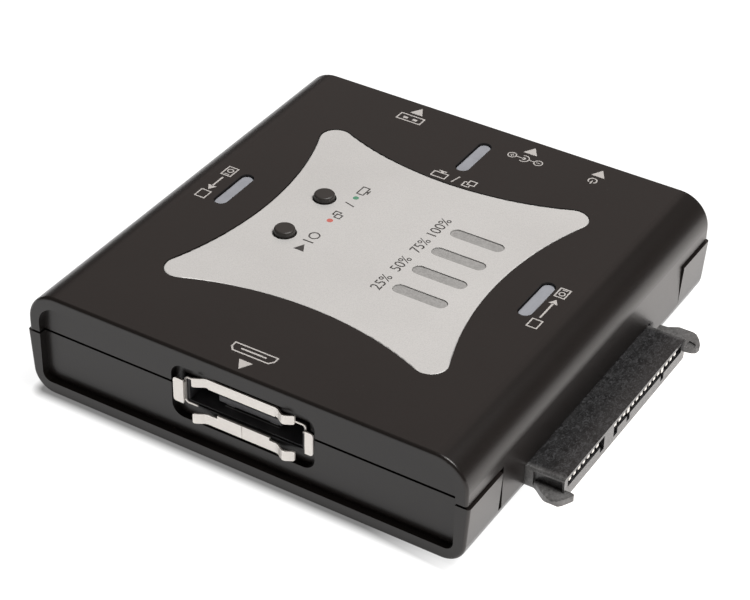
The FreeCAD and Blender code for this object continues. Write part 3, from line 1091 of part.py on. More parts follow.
for x, y, a in ((-7, 18, 0), (-4.5, 18, 0), (-7, 16.3, 0), (-4.5, 16.3, 0), (-18.6, -11, 1), (-16.8, -11, 1), (3.4, 17.5, 1), (14.6, 0, 1), (14.6, 5.1, 1), (14.6, -5.1, 1),
                (28.6, 1.5, 1), (28.6, -2.0, 1), (-28.6, 1.5, 1), (-28.6, -2.0, 1), (7.4, 19.0, 0), (12.5, -19.5, 0), (-12.0, -20.5, 0)):
    w, d = (1.6, 0.8) if a == 0 else (0.8, 1.6)
    small.append(solid_box(x - w / 2, x + w / 2, y - d / 2, y + d / 2, 6.5, 6.95))
node(made("resistors_f", Part.makeCompound(small)), "resistors")


def led(x, y, turn=False):
    w, d = (1.4, 1.75) if not turn else (1.75, 1.4)
    s = solid_box(x - w, x + w, y - d, y + d, 6.5, 8.3)
    return s.makeChamfer(0.25, [e for e in s.Edges if e.BoundBox.ZMin > 8.2 + ZB])


node(made("lamps", Part.makeCompound([led(-24.0, 0.1), led(24.0, 0.1), led(0.0, 25.6)])), "status_leds")
node(made("bar_lamps", Part.makeCompound([led(10.8, k * VALS["bar_pitch"], True) for k in (-1.5, -0.5, 0.5, 1.5)])), "progress_leds")

# =========================================================== feet, screws
feet = []
for i, (sx, sy_) in enumerate((("", ""), ("-", ""), ("", "-"), ("-", "-"))):
    f = cyl("foot_%d" % i, "foot_rad", sx + "foot_x", sy_ + "foot_y", "-foot_standoff", "foot_seat")
    feet.append(round_edges("foot_r_%d" % i, f, 0.25, lambda e: e.BoundBox.ZMax < 0.01))
node(group("feet", *feet), "rubber_feet")

# screws: pan heads with a cross recess, shanks up through the board
screws = []
for i, (sx, sy_) in enumerate((("", ""), ("-", ""), ("", "-"), ("-", "-"))):
    X0, Y0 = sx + "boss_x", sy_ + "boss_y"
    head = cyl("screw_head_%d" % i, "screw_head", X0, Y0, "0.9", "2.3")
    head = round_edges("screw_head_r_%d" % i, head, 0.5, lambda e: abs(e.BoundBox.ZMax - 0.9 - ZB) < 0.01)
    shank = cyl("screw_shank_%d" % i, "screw_rad", X0, Y0, "2.2", "11.2")
    tip = doc.addObject("Part::Cone", "screw_tip_%d" % i)
    tip.setExpression("Radius1", X("screw_rad"))
    tip.setExpression("Radius2", "0.2")
    tip.setExpression("Height", "0.7")
    place(tip, X0, Y0, Z("11.2"))
    s1 = box("screw_slot_a_%d" % i, X0 + " - 1.15", X0 + " + 1.15", Y0 + " - 0.22", Y0 + " + 0.22", "0.5", "1.75")
    s2 = box("screw_slot_b_%d" % i, X0 + " - 0.22", X0 + " + 0.22", Y0 + " - 1.15", Y0 + " + 1.15", "0.5", "1.75")
    screws.append(cut("screw_%d" % i, fuse("screw_blank_%d" % i, head, shank, tip), s1, s2))
node(group("screws", *screws), "case_screws")

# ================================================================= checks
doc.recompute()
bad = []
for o in doc.Objects:
    st = [s for s in o.State if s in ("Invalid", "Error")]
    if st:
        bad.append("%s %s" % (o.Name, st))
for label, o in NODES:
    s = o.Shape
    if s.isNull() or not s.isValid() or not s.Solids:
        bad.append("%s: null, invalid or no solid" % label)
if bad:
    raise RuntimeError("; ".join(bad))
if len({l for l, o in NODES}) != len(NODES) or len(NODES) > 60:
    raise RuntimeError("node names")
for label, o in NODES:
    o.Shape.exportStep(os.path.join("parts", label + ".step"))
    bb = o.Shape.optimalBoundingBox(True, False)
    print("%-30s solids %3d  vol %9.2f  x %7.2f..%7.2f  y %7.2f..%7.2f  z %6.2f..%6.2f" % (
        label, len(o.Shape.Solids), o.Shape.Volume, bb.XMin, bb.XMax, bb.YMin, bb.YMax, bb.ZMin, bb.ZMax))
print(len(NODES), "nodes")
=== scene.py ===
import json
import math
import random

import bpy
import bmesh
from mathutils import Matrix, Vector


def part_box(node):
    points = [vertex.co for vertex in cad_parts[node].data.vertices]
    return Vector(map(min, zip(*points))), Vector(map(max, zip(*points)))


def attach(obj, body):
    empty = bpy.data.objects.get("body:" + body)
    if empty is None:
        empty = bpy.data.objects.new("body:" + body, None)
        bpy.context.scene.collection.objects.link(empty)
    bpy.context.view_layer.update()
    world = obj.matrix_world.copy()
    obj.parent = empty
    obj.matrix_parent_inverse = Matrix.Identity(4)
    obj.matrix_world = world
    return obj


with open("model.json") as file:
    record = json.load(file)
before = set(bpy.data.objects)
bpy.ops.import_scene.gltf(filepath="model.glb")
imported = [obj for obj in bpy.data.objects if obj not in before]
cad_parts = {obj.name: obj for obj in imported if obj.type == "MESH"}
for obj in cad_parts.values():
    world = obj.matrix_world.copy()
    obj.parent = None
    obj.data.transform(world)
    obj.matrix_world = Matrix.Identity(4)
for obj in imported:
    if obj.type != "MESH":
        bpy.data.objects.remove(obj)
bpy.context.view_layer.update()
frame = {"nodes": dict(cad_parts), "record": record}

nodes = frame["nodes"]
MM = 0.001
scene = bpy.context.scene


# ------------------------------------------------------------ node helpers
class Tree:
    """Small helper that writes a material's nodes."""

    def __init__(self, name):
        self.mat = bpy.data.materials.new(name)
        self.mat.use_nodes = True
        self.t = self.mat.node_tree
        self.t.nodes.clear()
        self.out = self.t.nodes.new("ShaderNodeOutputMaterial")
        self.bsdf = self.t.nodes.new("ShaderNodeBsdfPrincipled")
        self.t.links.new(self.bsdf.outputs[0], self.out.inputs[0])
        self.coord = self.t.nodes.new("ShaderNodeTexCoord").outputs["Object"]
        self.n = 0

    def put(self, socket, value):
        if hasattr(value, "is_linked") or isinstance(value, bpy.types.NodeSocket):
            self.t.links.new(value, socket)
        else:
            socket.default_value = value

    def set(self, name, value):
        self.put(self.bsdf.inputs[name], value)

    def noise(self, size_mm, detail=3.0, rough=0.55, stretch=None, distort=0.0, offset=(0, 0, 0)):
        """Noise whose blobs are about size_mm across."""
        m = self.t.nodes.new("ShaderNodeMapping")
        self.put(m.inputs["Vector"], self.coord)
        m.inputs["Location"].default_value = offset
        k = 1.0 / (size_mm * MM)
        s = stretch or (1, 1, 1)
        m.inputs["Scale"].default_value = (k / s[0], k / s[1], k / s[2])
        x = self.t.nodes.new("ShaderNodeTexNoise")
        x.inputs["Scale"].default_value = 1.0
        x.inputs["Detail"].default_value = detail
        x.inputs["Roughness"].default_value = rough
        x.inputs["Distortion"].default_value = distort
        self.put(x.inputs["Vector"], m.outputs[0])
        return x.outputs["Fac"]

    def cells(self, size_mm, feature="F1", offset=(0, 0, 0)):
        m = self.t.nodes.new("ShaderNodeMapping")
        self.put(m.inputs["Vector"], self.coord)
        m.inputs["Location"].default_value = offset
        k = 1.0 / (size_mm * MM)
        m.inputs["Scale"].default_value = (k, k, k)
        x = self.t.nodes.new("ShaderNodeTexVoronoi")
        x.feature = feature
        x.inputs["Scale"].default_value = 1.0
        self.put(x.inputs["Vector"], m.outputs[0])
        return x.outputs["Distance"]

    def ramp(self, fac, stops):
        r = self.t.nodes.new("ShaderNodeValToRGB")
        self.put(r.inputs[0], fac)
        e = r.color_ramp.elements
        while len(e) < len(stops):
            e.new(0.5)
        for i, (p, c) in enumerate(stops):
            e[i].position = p
            e[i].color = c if len(c) == 4 else (*c, 1)
        return r.outputs[0]

    def grey(self, fac, lo, hi, a=0.3, b=0.7):
        """Map the range a..b of fac to lo..hi."""
        r = self.t.nodes.new("ShaderNodeMapRange")
        self.put(r.inputs[0], fac)
        r.inputs[1].default_value = a
        r.inputs[2].default_value = b
        r.inputs[3].default_value = lo
        r.inputs[4].default_value = hi
        return r.outputs[0]

    def math(self, op, a, b=None, clamp=False):
        m = self.t.nodes.new("ShaderNodeMath")
        m.operation = op
        m.use_clamp = clamp
        self.put(m.inputs[0], a)
        if b is not None:
            self.put(m.inputs[1], b)
        return m.outputs[0]

    def mix(self, fac, a, b, blend="MIX"):
        m = self.t.nodes.new("ShaderNodeMix")
        m.data_type = "RGBA"
        m.blend_type = blend
        self.put(m.inputs[0], fac)
        self.put(m.inputs[6], a if not isinstance(a, tuple) or len(a) == 4 else (*a, 1))
        self.put(m.inputs[7], b if not isinstance(b, tuple) or len(b) == 4 else (*b, 1))
        return m.outputs[2]

    def axis(self, which):
        s = self.t.nodes.new("ShaderNodeSeparateXYZ")
        self.put(s.inputs[0], self.coord)
        return s.outputs[which]

    def bump(self, height, strength, depth_mm, chain=None):
        b = self.t.nodes.new("ShaderNodeBump")
        b.inputs["Strength"].default_value = strength
        b.inputs["Distance"].default_value = depth_mm * MM
        self.put(b.inputs["Height"], height)
        if chain is not None:
            self.put(b.inputs["Normal"], chain)
        return b.outputs[0]


def shade(c, k):
    return tuple(max(0.0, min(1.0, v * k)) for v in c)


def plastic(name, base, rough=0.45, grain=0.16, depth=0.012, mott=0.10, speck=0.0, spec=0.5, wear=0.0, scuffs=0.0, coat=0.0):
    """Moulded plastic: fine grain, slow colour drift, faint scuffs."""
    T = Tree(name)
    slow = T.noise(9.0, 4.0, 0.6)
    mid = T.noise(1.1, 4.0, 0.6, offset=(3, 5, 7))
    fine = T.noise(grain, 3.0, 0.6, offset=(11, 2, 4))
    col = T.mix(T.grey(slow, 0, 1), shade(base, 1 - mott), shade(base, 1 + mott))
    col = T.mix(T.grey(mid, 0, 0.5), col, shade(base, 1 + mott * 1.4))
    if speck:
        dots = T.cells(grain * 2.2, offset=(1, 2, 3))
        f = T.grey(dots, speck, 0.0, 0.05, 0.25)
        col = T.mix(f, col, shade(base, 2.2))
    if scuffs:
        s1 = T.noise(2.6, 6.0, 0.75, stretch=(4.0, 0.35, 1), distort=0.6, offset=(9, 1, 2))
        s = T.grey(s1, 0, scuffs, 0.63, 0.75)
        col = T.mix(s, col, shade(base, 1.9))
    T.set("Base Color", col)
    r = T.math("ADD", T.grey(fine, rough - 0.05, rough + 0.05), T.grey(slow, -0.03, 0.03))
    T.set("Roughness", r)
    T.bsdf.inputs["Specular IOR Level"].default_value = spec
    n = T.bump(fine, 0.55, depth)
    n = T.bump(mid, 0.25, depth * 1.5, chain=n)
    T.set("Normal", n)
    if coat:
        T.bsdf.inputs["Coat Weight"].default_value = coat
        T.bsdf.inputs["Coat Roughness"].default_value = 0.2
    return T.mat


def metal(name, base, rough=0.28, brush=(0.12, 4.0), depth=0.004, tint=0.06, axis=0, metallic=1.0, stain=0.5):
    """Sheet or turned metal: fine drawing lines and soft stains."""
    T = Tree(name)
    st = [1, 1, 1]
    st[axis] = brush[1] / brush[0]
    lines = T.noise(brush[0], 3.0, 0.6, stretch=tuple(st))
    blot = T.noise(1.6, 5.0, 0.65, offset=(2, 9, 4))
    col = T.mix(T.grey(blot, 0, 1), shade(base, 1 - tint * 2), shade(base, 1 + tint))
    col = T.mix(T.grey(lines, 0, 0.35), col, shade(base, 0.8))
    T.set("Base Color", col)
    T.bsdf.inputs["Metallic"].default_value = metallic
    T.set("Roughness", T.math("ADD", T.grey(blot, rough - 0.08 * stain, rough + 0.1 * stain), T.grey(lines, -0.04, 0.05)))
    T.set("Normal", T.bump(lines, 0.35, depth))
    return T.mat


# ------------------------------------------------------- shell materials
SHELL = (0.0100, 0.0080, 0.0072)


def shell_material(name, lift=1.0):
    """Black-brown ABS with a fine spark-eroded grain."""
    T = Tree(name)
    base = shade(SHELL, lift)
    slow = T.noise(14.0, 4.0, 0.6)
    mid = T.noise(0.9, 4.0, 0.6, offset=(3, 5, 7))
    fine = T.noise(0.17, 3.0, 0.65, offset=(11, 2, 4))
    tiny = T.noise(0.07, 2.0, 0.5, offset=(1, 8, 6))
    col = T.mix(T.grey(slow, 0, 1), shade(base, 0.86), shade(base, 1.16))
    col = T.mix(T.grey(fine, 0, 0.8, 0.35, 0.75), col, shade(base, 1.5))
    dust = T.cells(1.7, offset=(4, 4, 4))
    speck = T.math("MULTIPLY", T.grey(dust, 1, 0, 0.02, 0.045), T.grey(T.noise(6.0, 2.0, 0.5, offset=(7, 7, 7)), 0, 0.5, 0.5, 0.62))
    col = T.mix(speck, col, (0.09, 0.085, 0.08))
    scr = T.noise(1.4, 6.0, 0.8, stretch=(6.0, 0.3, 1), distort=0.8, offset=(9, 1, 2))
    col = T.mix(T.grey(scr, 0, 0.35, 0.66, 0.76), col, shade(base, 2.2))
    T.set("Base Color", col)
    r = T.math("ADD", T.grey(fine, 0.40, 0.50), T.grey(slow, -0.03, 0.03))
    T.set("Roughness", r)
    T.bsdf.inputs["Specular IOR Level"].default_value = 0.04
    T.bsdf.inputs["Coat Weight"].default_value = 0.80
    T.bsdf.inputs["Coat Roughness"].default_value = 0.28
    T.bsdf.inputs["Specular Tint"].default_value = (1.0, 0.93, 0.90, 1)
    h = T.math("ADD", T.math("MULTIPLY", fine, 0.8), T.math("MULTIPLY", tiny, 0.4))
    n = T.bump(h, 0.5, 0.012)
    n = T.bump(mid, 0.18, 0.02, chain=n)
    T.set("Normal", n)
    T.set("Coat Normal", n)
    return T.mat


def plate_material():
    """Silver-grey printed plate: fine metallic fleck over a pale ground."""
    T = Tree("plate_silver")
    base = (0.715, 0.712, 0.700)
    slow = T.noise(18.0, 3.0, 0.5)
    fleck = T.noise(0.16, 2.0, 0.5, offset=(5, 1, 8))
    spark = T.cells(0.19, offset=(2, 6, 1))
    col = T.mix(T.grey(slow, 0, 1), shade(base, 0.965), shade(base, 1.035))
    col = T.mix(T.grey(fleck, 0, 0.55, 0.40, 0.72), col, shade(base, 0.80))
    col = T.mix(T.grey(spark, 0.5, 0.0, 0.10, 0.26), col, shade(base, 1.30))
    T.set("Base Color", col)
    T.bsdf.inputs["Metallic"].default_value = 0.25
    T.set("Roughness", T.math("ADD", T.grey(fleck, 0.40, 0.52), T.grey(slow, -0.02, 0.02)))
    n = T.bump(fleck, 0.3, 0.008)
    T.set("Normal", n)
    return T.mat


def milky(name, base, rough=0.32, stipple=0.0):
    """Frosted light guide: cloudy, with fine flow marks; optionally stippled."""
    T = Tree(name)
    cloud = T.noise(1.8, 4.0, 0.6)
    fine = T.noise(0.14, 3.0, 0.6, offset=(4, 1, 1))
    flow = T.noise(0.5, 3.0, 0.5, stretch=(1, 6, 1), offset=(8, 3, 1))
    col = T.mix(T.grey(cloud, 0, 1), shade(base, 0.92), shade(base, 1.07))
    col = T.mix(T.grey(flow, 0, 0.4, 0.45, 0.7), col, shade(base, 1.14))
    col = T.mix(T.grey(fine, 0, 0.3, 0.5, 0.7), col, shade(base, 0.86))
    if stipple:
        grit = T.noise(0.30, 3.0, 0.7, offset=(6, 2, 9))
        col = T.mix(T.grey(grit, 0, stipple, 0.42, 0.62), col, shade(base, 0.70))
    T.set("Base Color", col)
    T.set("Roughness", T.grey(fine, rough - 0.05, rough + 0.08))
    T.bsdf.inputs["Specular IOR Level"].default_value = 0.45
    T.set("Normal", T.bump(fine, 0.25, 0.008))
    return T.mat


def shield_material():
    """Tinned sheet: bright on the lips, with painted shade inside the mouth and along its lower and side rims."""
    T = Tree("shield_tin")
    base = (0.98, 0.925, 0.87)
    lines = T.noise(0.10, 3.0, 0.6, stretch=(30, 1, 1))
    blot = T.noise(1.4, 5.0, 0.65, offset=(2, 9, 4))
    pits = T.cells(0.35, offset=(3, 1, 2))
    col = T.mix(T.grey(blot, 0, 1), shade(base, 0.94), shade(base, 1.04))
    col = T.mix(T.grey(lines, 0, 0.3), col, shade(base, 0.88))
    col = T.mix(T.grey(pits, 0.5, 0.0, 0.03, 0.07), col, shade(base, 0.6))
    # painted shade: darker, duller sheet towards the inside of the mouth and along the lower and side rims, where
    # shade falls
    mouth_shade = T.grey(T.axis(1), 0.0, 1.0, -0.03272, -0.03245)
    x, y, z = T.axis(0), T.axis(1), T.axis(2)
    low = T.math("MULTIPLY", T.grey(z, 1, 0, 0.0073, 0.0075), T.grey(x, 0, 1, -0.0075, -0.0072))
    side = T.math("MULTIPLY", T.math("MULTIPLY", T.grey(x, 0, 1, 0.00885, 0.00893), T.grey(x, 1, 0, 0.00930, 0.00936)),
                  T.grey(z, 1, 0, 0.0102, 0.0106))
    rim_shade = T.math("MAXIMUM", T.math("MULTIPLY", low, T.grey(y, 0, 1, -0.0330, -0.0328)), side)
    mouth_shade = T.math("MAXIMUM", mouth_shade, rim_shade)
    col = T.mix(mouth_shade, col, (0.016, 0.016, 0.017))
    T.set("Base Color", col)
    T.set("Metallic", T.grey(mouth_shade, 0.35, 0.0, 0.0, 1.0))
    T.set("Roughness", T.math("ADD", T.grey(blot, 0.32, 0.44), T.math("MULTIPLY", mouth_shade, 0.15)))
    T.set("Normal", T.bump(lines, 0.3, 0.004))
    return T.mat


def mouth_material():
    """Moulded block in the mouth, with its two guide ribs paler along the front edge at the nose."""
    T = Tree("esata_black")
    base = (0.060, 0.060, 0.064)
    blot = T.noise(1.1, 4.0, 0.6)
    fine = T.noise(0.15, 3.0, 0.6, offset=(2, 2, 7))
    col = T.mix(T.grey(blot, 0, 1), shade(base, 0.75), shade(base, 1.25))
    col = T.mix(T.grey(fine, 0, 0.5, 0.45, 0.7), col, shade(base, 1.5))
    x, y, z = T.axis(0), T.axis(1), T.axis(2)
    nose = T.math("MULTIPLY", T.grey(y, 1, 0, -0.03098, -0.03090), T.grey(y, 0, 1, -0.0312, -0.03105))
    nose = T.math("MULTIPLY", nose, T.grey(z, 1, 0, 0.0079, 0.0081))
    nose = T.math("MULTIPLY", nose, T.grey(T.math("ABSOLUTE", x), 1, 0, 0.0041, 0.0043))
    col = T.mix(nose, col, (0.42, 0.42, 0.43))
    T.set("Base Color", col)
    T.set("Roughness", T.grey(fine, 0.30, 0.45))
    T.set("Normal", T.bump(fine, 0.3, 0.01))
    return T.mat


def board_material():
    """Green solder mask with copper runs under it."""
    T = Tree("board_green")
    tracks = T.cells(1.3, offset=(2, 1, 5))
    weave = T.noise(0.5, 2.0, 0.5)
    col = T.mix(T.grey(tracks, 0, 1, 0.25, 0.32), (0.010, 0.075, 0.028), (0.018, 0.14, 0.05))
    col = T.mix(T.grey(weave, 0, 0.4), col, (0.012, 0.10, 0.036))
    T.set("Base Color", col)
    T.set("Roughness", T.grey(weave, 0.25, 0.38))
    T.set("Normal", T.bump(tracks, 0.2, 0.03))
    return T.mat


def socket_material():
    """Glass-filled socket plastic: blotchy dark grey with pale flow marks and a painted sheen on the ear ends."""
    T = Tree("socket_black")
    base = (0.016, 0.016, 0.0165)
    blot = T.noise(1.5, 6.0, 0.72, distort=0.8)
    fibre = T.noise(0.42, 4.0, 0.65, stretch=(1.0, 2.2, 1.0), distort=1.6, offset=(5, 5, 1))
    curl = T.noise(0.8, 5.0, 0.7, distort=2.6, offset=(1, 7, 3))
    col = T.mix(T.grey(blot, 0, 1, 0.38, 0.66), shade(base, 0.45), shade(base, 1.5))
    col = T.mix(T.grey(fibre, 0, 0.9, 0.50, 0.68), col, (0.060, 0.061, 0.064))
    col = T.mix(T.grey(curl, 0, 0.9, 0.54, 0.62), col, (0.062, 0.063, 0.066))
    # painted sheen: the ear ends of the socket are lightened by position to stand in for their sheen at grazing angles
    out = T.math("ABSOLUTE", T.math("ADD", T.axis(1), T.math("MULTIPLY", T.math("SIGN", T.axis(0)), 0.0013)))
    ear_sheen = T.math("MULTIPLY", T.grey(out, 0.0, 0.92, 0.0166, 0.0177), T.grey(curl, 0.7, 1.0))
    ear_sheen_colour = T.mix(T.grey(blot, 0, 1, 0.36, 0.68), (0.085, 0.084, 0.083), (0.200, 0.198, 0.196))
    ear_sheen_colour = T.mix(T.grey(fibre, 0, 0.7, 0.45, 0.70), ear_sheen_colour, (0.24, 0.24, 0.24))
    col = T.mix(ear_sheen, col, ear_sheen_colour)
    T.set("Base Color", col)
    T.set("Roughness", T.math("ADD", T.grey(blot, 0.30, 0.46), T.grey(fibre, -0.05, 0.05)))
    T.bsdf.inputs["Specular IOR Level"].default_value = 0.25
    T.bsdf.inputs["Coat Weight"].default_value = 0.55
    T.bsdf.inputs["Coat Roughness"].default_value = 0.20
    n = T.bump(fibre, 0.45, 0.02)
    n = T.bump(curl, 0.5, 0.03, chain=n)
    T.set("Normal", n)
    return T.mat


def rubber_material():
    T = Tree("foot_rubber")
    fine = T.noise(0.25, 4.0, 0.65)
    slow = T.noise(3.0, 3.0, 0.5, offset=(3, 3, 3))
    col = T.mix(T.grey(slow, 0, 1), (0.012, 0.012, 0.012), (0.024, 0.023, 0.022))
    col = T.mix(T.grey(fine, 0, 0.5, 0.55, 0.75), col, (0.06, 0.057, 0.053))
    T.set("Base Color", col)
    T.set("Roughness", T.grey(fine, 0.72, 0.9))
    T.set("Normal", T.bump(fine, 0.6, 0.03))
    return T.mat


def ink(name, base, rough=0.42):
    """Pad-printed ink: slightly uneven cover."""
    T = Tree(name)
    pin = T.noise(0.09, 3.0, 0.6)
    slow = T.noise(1.4, 3.0, 0.5, offset=(1, 4, 2))
    col = T.mix(T.grey(pin, 0, 0.6, 0.5, 0.75), base, shade(base, 0.72))
    col = T.mix(T.grey(slow, 0, 0.35), col, shade(base, 1.08))
    T.set("Base Color", col)
    T.set("Roughness", T.grey(pin, rough - 0.06, rough + 0.1))
    T.set("Normal", T.bump(pin, 0.3, 0.004))
    return T.mat


M = {
    "upper_shell": shell_material("shell_upper"),
    "lower_shell": shell_material("shell_lower", 0.97),
    "label_plate": plate_material(),
    "button_caps": plastic("button_black", (0.033, 0.029, 0.0265), rough=0.42, grain=0.12, depth=0.008, mott=0.12),
    "lamp_windows": milky("lamp_milky", (0.33, 0.345, 0.38)),
    "progress_guide": milky("bar_milky", (0.385, 0.383, 0.375), stipple=0.7),
    "board_laminate": board_material(),
    "socket_plastic": socket_material(),
    "socket_contacts": metal("contact_gold", (0.86, 0.84, 0.79), rough=0.30, axis=0, brush=(0.08, 2.0), metallic=0.55, tint=0.02),
    "esata_shield": shield_material(),
    "esata_insulator": mouth_material(),
    "esata_contacts": metal("esata_gold", (0.80, 0.66, 0.40), rough=0.22, axis=1, brush=(0.08, 2.0)),
    "usb_shell": metal("usb_tin", (0.78, 0.76, 0.72), rough=0.27, axis=1),
    "usb_insulator": plastic("usb_black", (0.015, 0.015, 0.016), rough=0.4, grain=0.14, mott=0.2),
    "usb_contacts": metal("usb_gold", (0.80, 0.66, 0.40), rough=0.22, axis=1, brush=(0.08, 2.0)),
    "power_inlet_housing": plastic("inlet_black", (0.014, 0.014, 0.0145), rough=0.36, grain=0.2, mott=0.2),
    "power_inlet_pin": metal("inlet_pin_nickel", (0.80, 0.77, 0.70), rough=0.2, axis=1, brush=(0.1, 1.0)),
    "power_inlet_spring": metal("inlet_spring_nickel", (0.78, 0.75, 0.68), rough=0.25, axis=1),
    "power_switch_frame": metal("switch_frame_steel", (0.62, 0.61, 0.59), rough=0.33, axis=0),
    "power_switch_knob": plastic("switch_black", (0.016, 0.0155, 0.015), rough=0.5, grain=0.16, mott=0.15),
    "power_switch_terminals": metal("switch_tin", (0.75, 0.73, 0.69), rough=0.3, axis=1),
    "tact_cases": plastic("tact_black", (0.016, 0.016, 0.017), rough=0.45, grain=0.2, mott=0.2),
    "tact_covers": metal("tact_steel", (0.66, 0.65, 0.62), rough=0.3, axis=0),
    "tact_terminals": metal("tact_tin", (0.75, 0.73, 0.69), rough=0.3, axis=0),
    "tact_domes": metal("tact_dome_steel", (0.7, 0.68, 0.64), rough=0.2, axis=0),
    "plungers": plastic("plunger_black", (0.018, 0.017, 0.017), rough=0.4, grain=0.14, mott=0.15),
    "chip_resin": plastic("chip_resin", (0.014, 0.014, 0.015), rough=0.6, grain=0.1, depth=0.01, mott=0.25, speck=0.3),
    "chip_leads": metal("lead_tin", (0.74, 0.73, 0.70), rough=0.3, axis=0, brush=(0.06, 1.0)),
    "crystal_can": metal("crystal_can", (0.74, 0.73, 0.71), rough=0.22, axis=0),
    "inductors": plastic("ferrite_grey", (0.035, 0.034, 0.033), rough=0.65, grain=0.25, depth=0.03, mott=0.25, speck=0.35),
    "regulators": plastic("regulator_resin", (0.015, 0.015, 0.016), rough=0.6, grain=0.1, depth=0.01, mott=0.25, speck=0.3),
    "capacitor_cans": metal("can_aluminium", (0.72, 0.72, 0.73), rough=0.3, axis=2, brush=(0.1, 2.0)),
    "ceramic_chips": plastic("ceramic_tan", (0.30, 0.21, 0.13), rough=0.5, grain=0.12, mott=0.15, speck=0.2),
    "resistor_chips": plastic("resistor_glaze", (0.02, 0.02, 0.024), rough=0.3, grain=0.15, mott=0.2),
    "status_leds": milky("led_epoxy", (0.62, 0.62, 0.56), rough=0.2),
    "progress_leds": milky("led_epoxy_bar", (0.62, 0.62, 0.56), rough=0.2),
    "rubber_feet": rubber_material(),
    "case_screws": metal("screw_black", (0.07, 0.068, 0.066), rough=0.35, axis=2, brush=(0.1, 1.0)),
}
slot_of = {s["node"]: s["material_slot"] for s in frame["record"]["subparts"]}
for name, ob in nodes.items():
    m = M[slot_of[name]]
    if not ob.material_slots:
        ob.data.materials.append(m)
    for s in ob.material_slots:
        s.material = m

# ------------------------------------------------------------ printed marks
WHITE = ink("ink_white", (0.55, 0.53, 0.51))
GREY = ink("ink_grey", (0.055, 0.052, 0.05))
RED = ink("ink_red", (0.62, 0.16, 0.13))
GREEN = ink("ink_green", (0.10, 0.30, 0.19))
top_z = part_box("upper_shell")[1][2] / MM        # mm
plate_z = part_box("label_plate")[1][2] / MM
INK = 0.012


class Print:
    """Thin closed prints, drawn in their own plane and laid on the case."""

    def __init__(self, name, mat, z, origin, along, slot):
        self.bm = bmesh.new()
        self.name, self.mat, self.z, self.slot = name, mat, z, slot
        self.o = Vector((origin[0], origin[1]))
        a = Vector(along).normalized()
        self.u, self.v = a, Vector((-a.y, a.x))

    def at(self, p):
        q = self.o + self.u * p[0] + self.v * p[1]
        return q

    def prism(self, pts):
        """Closed prism over a convex or simple outline."""
        lo = [self.bm.verts.new((*(self.at(p) * MM), (self.z - 0.03) * MM)) for p in pts]
        hi = [self.bm.verts.new((*(self.at(p) * MM), (self.z + INK) * MM)) for p in pts]
        n = len(pts)
        self.bm.faces.new(lo[::-1])
        self.bm.faces.new(hi)
        for i in range(n):
            self.bm.faces.new((lo[i], lo[(i + 1) % n], hi[(i + 1) % n], hi[i]))

    def band(self, pts, w, closed=False):
        """Line of width w through the points, with mitred corners."""
        n = len(pts)
        left, right = [], []
        P = [Vector(p) for p in pts]
        for i in range(n):
            a = P[i - 1] if (i > 0 or closed) else None
            b = P[(i + 1) % n] if (i < n - 1 or closed) else None
            d1 = (P[i] - a).normalized() if a is not None else None
            d2 = (b - P[i]).normalized() if b is not None else None
            if d1 is None:
                d1 = d2
            if d2 is None:
                d2 = d1
            n1, n2 = Vector((-d1.y, d1.x)), Vector((-d2.y, d2.x))
            m = (n1 + n2)
            m = m.normalized() if m.length > 1e-6 else n1
            k = w / 2 / max(0.35, m.dot(n1))
            left.append(P[i] + m * k)
            right.append(P[i] - m * k)
        vs = []
        for side in (left, right):
            for dz in (-0.03, INK):
                vs.append([self.bm.verts.new((*(self.at(p) * MM), (self.z + dz) * MM)) for p in side])
        ll, lh, rl, rh = vs
        rng = range(n) if closed else range(n - 1)
        for i in rng:
            j = (i + 1) % n
            self.bm.faces.new((rh[i], rh[j], lh[j], lh[i]))
            self.bm.faces.new((ll[i], ll[j], rl[j], rl[i]))
            self.bm.faces.new((lh[i], lh[j], ll[j], ll[i]))
            self.bm.faces.new((rl[i], rl[j], rh[j], rh[i]))
        if not closed:
            self.bm.faces.new((ll[0], rl[0], rh[0], lh[0]))
            self.bm.faces.new((lh[-1], rh[-1], rl[-1], ll[-1]))

    def disc(self, x, y, r, n=40):
        self.prism([(x + r * math.cos(2 * math.pi * i / n), y + r * math.sin(2 * math.pi * i / n)) for i in range(n)])

    def ring(self, x, y, r, w, n=40, a0=0.0, a1=360.0):
        full = a1 - a0 >= 360
        k = n if full else n + 1
        self.band([(x + r * math.cos(math.radians(a0 + (a1 - a0) * i / n)), y + r * math.sin(math.radians(a0 + (a1 - a0) * i / n))) for i in range(k)], w, closed=full)

    def rect(self, x0, x1, y0, y1):
        self.prism([(x0, y0), (x1, y0), (x1, y1), (x0, y1)])

    def done(self):
        bmesh.ops.recalc_face_normals(self.bm, faces=self.bm.faces[:])
        me = bpy.data.meshes.new(self.name)
        self.bm.to_mesh(me)
        self.bm.free()
        me.materials.append(self.mat)
        o = bpy.data.objects.new(self.name, me)
        scene.collection.objects.link(o)
        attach(o, "case")
        return o


def drive_icon(p, x, y, h):
    """A disk drive: outlined box with a round platter."""
    w = h * 1.35
    t = 0.2
    p.band([(x + t / 2, y + t / 2), (x + w - t / 2, y + t / 2), (x + w - t / 2, y + h - t / 2), (x + t / 2, y + h - t / 2)], t, closed=True)
    p.ring(x + w * 0.42, y + h / 2, h * 0.24, 0.17, 28)
    p.rect(x + w * 0.78, x + w * 0.78 + 0.18, y + h * 0.28, y + h * 0.72)
    return w


def arrow_icon(p, x, y, length, h):
    """Straight arrow pointing along the row."""
    p.rect(x, x + length - h * 0.55, y + h / 2 - 0.13, y + h / 2 + 0.13)
    p.prism([(x + length - h * 0.62, y + h * 0.10), (x + length, y + h / 2), (x + length - h * 0.62, y + h * 0.90)])
    return length


